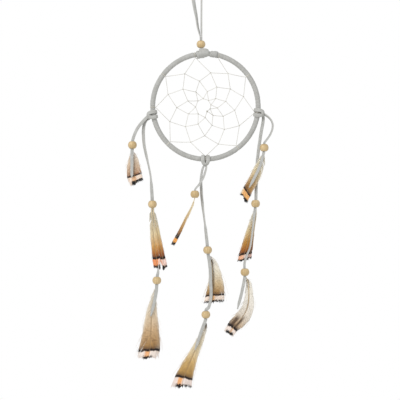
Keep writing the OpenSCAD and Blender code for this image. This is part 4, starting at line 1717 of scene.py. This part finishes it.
class DreamCatcher:
    """Builds the hanging's pieces round the frame and puts each on its body; the loop and the strands with
    two bodies are left on none.
    """

    def __init__(self) -> None:
        """Read the hoop's place and size from the frame."""
        self.store = Store()
        low, high = (Vector(corner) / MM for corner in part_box("hoop_wrap"))
        centre = (low + high) / 2.0
        wrap_r = (high.y - low.y) / 2.0
        self.hoop = Hoop(centre, (high.x - low.x) / 2.0 - wrap_r, wrap_r, pinches=HITCHES)
        self.web = Web(self.hoop, HITCHES)
        self.beads: dict[str, bpy.types.Object] = {}
        self.hung: dict[str, list[bpy.types.Object]] = {}

    def put(self, piece: bpy.types.Object, body: str, slot: str, *nodes: str) -> bpy.types.Object:
        """Ride a piece on its body and hide the nodes it stands for."""
        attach(piece, body)
        if nodes:
            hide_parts(*nodes)
        log.info("%s: %d faces on %s", piece.name, len(piece.data.polygons), body)
        return piece

    def build_hoop(self, frame: dict[str, object]) -> None:
        """Build the wrapped hoop and its web."""
        wire = frame["nodes"]["hoop_ring"]
        for held in wire.material_slots:
            held.material = self.store.get(Stock.STEEL)
        wrap = self.store.get(Stock.WRAP)
        thread = self.store.get(Stock.THREAD)
        self.put(self.hoop.wrapping(wrap), "hoop", "lace", "hoop_wrap")
        self.put(self.hoop.tucked_end(WRAP_END, 4.2, wrap), "hoop", "lace", "wrap_end")
        self.put(self.web.thread(thread), "hoop", "thread", "web_thread")
        self.put(self.web.hitches(thread), "hoop", "thread", "web_hitches")
        self.put(self.web.centre_knot(thread), "hoop", "thread", "web_centre_knot")

    def build_ties(self) -> None:
        """Build the three ties and the loop's knot."""
        lace = self.store.get(Stock.LACE)
        for side, angle in TIES.items():
            tie = f"{side}_tie"
            self.put(LarksHead(self.hoop, angle).build(f"{tie}_hitch", lace), tie, "lace", tie)
        self.put(TopKnot(self.hoop).build(lace), "knot", "lace", "top_knot")

    def build_beads(self) -> None:
        """Build every bead where the frame has it."""
        wood = self.store.get(Stock.WOOD)
        for seed, (node, body) in enumerate(BEADS):
            low, high = (Vector(corner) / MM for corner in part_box(node))
            bead = Bead(f"{node}_turned", (low + high) / 2.0, high.x - low.x, seed=seed)
            self.beads[node] = self.put(bead.build(wood), body, "wood", node)

    def build_feathers(self) -> None:
        """Build every feather below its bead."""
        quill = self.store.get(Stock.QUILL)
        for feather in FEATHERS:
            low, high = (Vector(corner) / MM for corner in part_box(feather.bead))
            feather.lay_out((low + high) / 2.0)
            vane = feather.vane(feather.finish.build(feather.name))
            body = feather.body or feather.name
            self.put(vane, body, "feather", feather.name)
            shaft = self.put(feather.shaft(quill), body, "feather")
            self.hung.setdefault(feather.bead, []).extend([vane, shaft])

    def build_laces(self) -> None:
        """Build the hanging loop and the six strands, each swept along its route."""
        material = self.store.get(Stock.LACE)
        loop = Lace(
            "loop_lace", LOOP_ROUTE,
            (
                (0.0, 88.0), (0.1, 85.0), (0.14, 64.0), (0.2, 58.0), (0.3, 28.0), (0.38, 6.0),
                (0.43, 50.0), (0.47, 90.0), (0.53, 90.0), (0.6, 74.0), (0.86, 74.0), (0.9, 85.0), (1.0, 86.0),
            ),
            lace_w=3.3, lace_t=1.1, sways=0.0, own=0.6,
        )
        piece = loop.build(material)
        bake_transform(piece)
        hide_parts("hanging_loop")
        for strand in STRANDS:
            self.build_strand(strand, material)

    def build_strand(self, strand: Strand, material: bpy.types.Material) -> None:
        tie = TIES[strand.side]
        bodies, nodes, carries = strand.names()
        outward, depth, tangent = self.hoop.local(tie)
        back, along = strand.under
        start = self.hoop.wire_point(tie) + outward * TIE_REACH + depth * back + tangent * along
        route = (tuple(start), *strand.route)
        lace = Lace(f"{bodies[0]}_strand", route, strand.turn, taper=strand.taper, seed=strand.seed)
        piece = lace.build(material)
        if len(bodies) == 2:
            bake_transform(piece)
            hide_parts(*nodes)
        else:
            self.put(piece, bodies[0], "lace", *nodes)
        carried: list[bpy.types.Object] = []
        for node in carries:
            carried += [self.beads[node], *self.hung[node]]


# ---------------------------------------------------------------- camera, light and floor


@dataclass
class Studio:
    """The pale floor, the soft light and the camera in front, in metres."""

    distance: float = 1.3
    view_width: float = 0.362
    aim: Point = (0.0021, 0.0, -0.1967)
    floor_z: float = -0.6

    def camera(self) -> None:
        """Stand the camera level in front of the hanging."""
        camera = bpy.data.cameras.new("front_camera")
        camera.sensor_width = 36.0
        camera.lens = camera.sensor_width * self.distance / self.view_width
        camera.clip_start, camera.clip_end = 0.05, 20.0
        holder = bpy.data.objects.new("front_camera", camera)
        holder.location = (self.aim[0], -self.distance, self.aim[2])
        holder.rotation_euler = (math.radians(90.0), 0.0, 0.0)
        bpy.context.scene.collection.objects.link(holder)
        bpy.context.scene.camera = holder

    def lamp(self, name: str, place: Point, size: float, power: float) -> None:
        """Hang a soft square light that looks at the hanging's middle."""
        light = bpy.data.lights.new(name, "AREA")
        light.size, light.energy = size, power
        holder = bpy.data.objects.new(name, light)
        holder.location = place
        look = Vector(self.aim) - Vector(place)
        holder.rotation_euler = look.to_track_quat("-Z", "Y").to_euler()
        bpy.context.scene.collection.objects.link(holder)

    def sky(self, seen: float, felt: float) -> None:
        """Surround the scene with plain white.

        Args:
            seen: How bright it looks.
            felt: How much light it gives.
        """
        world = bpy.data.worlds.new("white_surround")
        world.use_nodes = True
        nodes, links = world.node_tree.nodes, world.node_tree.links
        background = nodes["Background"]
        background.inputs["Color"].default_value = (1.0, 1.0, 1.0, 1.0)
        path = nodes.new("ShaderNodeLightPath")
        share = nodes.new("ShaderNodeMapRange")
        share.inputs["To Min"].default_value = felt
        share.inputs["To Max"].default_value = seen
        links.new(path.outputs["Is Camera Ray"], share.inputs["Value"])
        links.new(share.outputs["Result"], background.inputs["Strength"])
        bpy.context.scene.world = world
        bpy.context.scene.view_settings.view_transform = "Standard"

    def floor(self) -> None:
        """Lay a pale round floor well below the hanging."""
        s = Shader("pale_floor")
        faint = s.grain(s.place(), 6.0, 2.0)
        s.feed(s.mix(s.span(faint, 0.3, 0.7), linear("EDEDEB"), linear("F2F2F0")), "Base Color")
        s.set(Roughness=0.8)
        mesher = Mesher()
        bmesh.ops.create_circle(mesher.bm, cap_ends=True, segments=96, radius=0.95)
        bmesh.ops.translate(mesher.bm, vec=(0.0, 0.0, self.floor_z), verts=mesher.bm.verts)
        mesher.finish("pale_floor", s.material)

    def build(self) -> None:
        """Set up everything round the hanging."""
        self.camera()
        self.sky(1.0, 0.72)
        self.lamp("key_light", (-0.9, -1.1, 0.7), 0.9, 14.0)
        self.lamp("fill_light", (1.1, -0.9, 0.1), 1.0, 2.5)
        self.floor()


def main() -> None:
    """Build the hanging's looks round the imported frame."""
    logging.basicConfig(level=logging.INFO, format="%(message)s")
    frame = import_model()
    Studio().build()
    hanging = DreamCatcher()
    hanging.build_hoop(frame)
    hanging.build_ties()
    hanging.build_beads()
    hanging.build_feathers()
    hanging.build_laces()


if __name__ == "__main__":
    main()
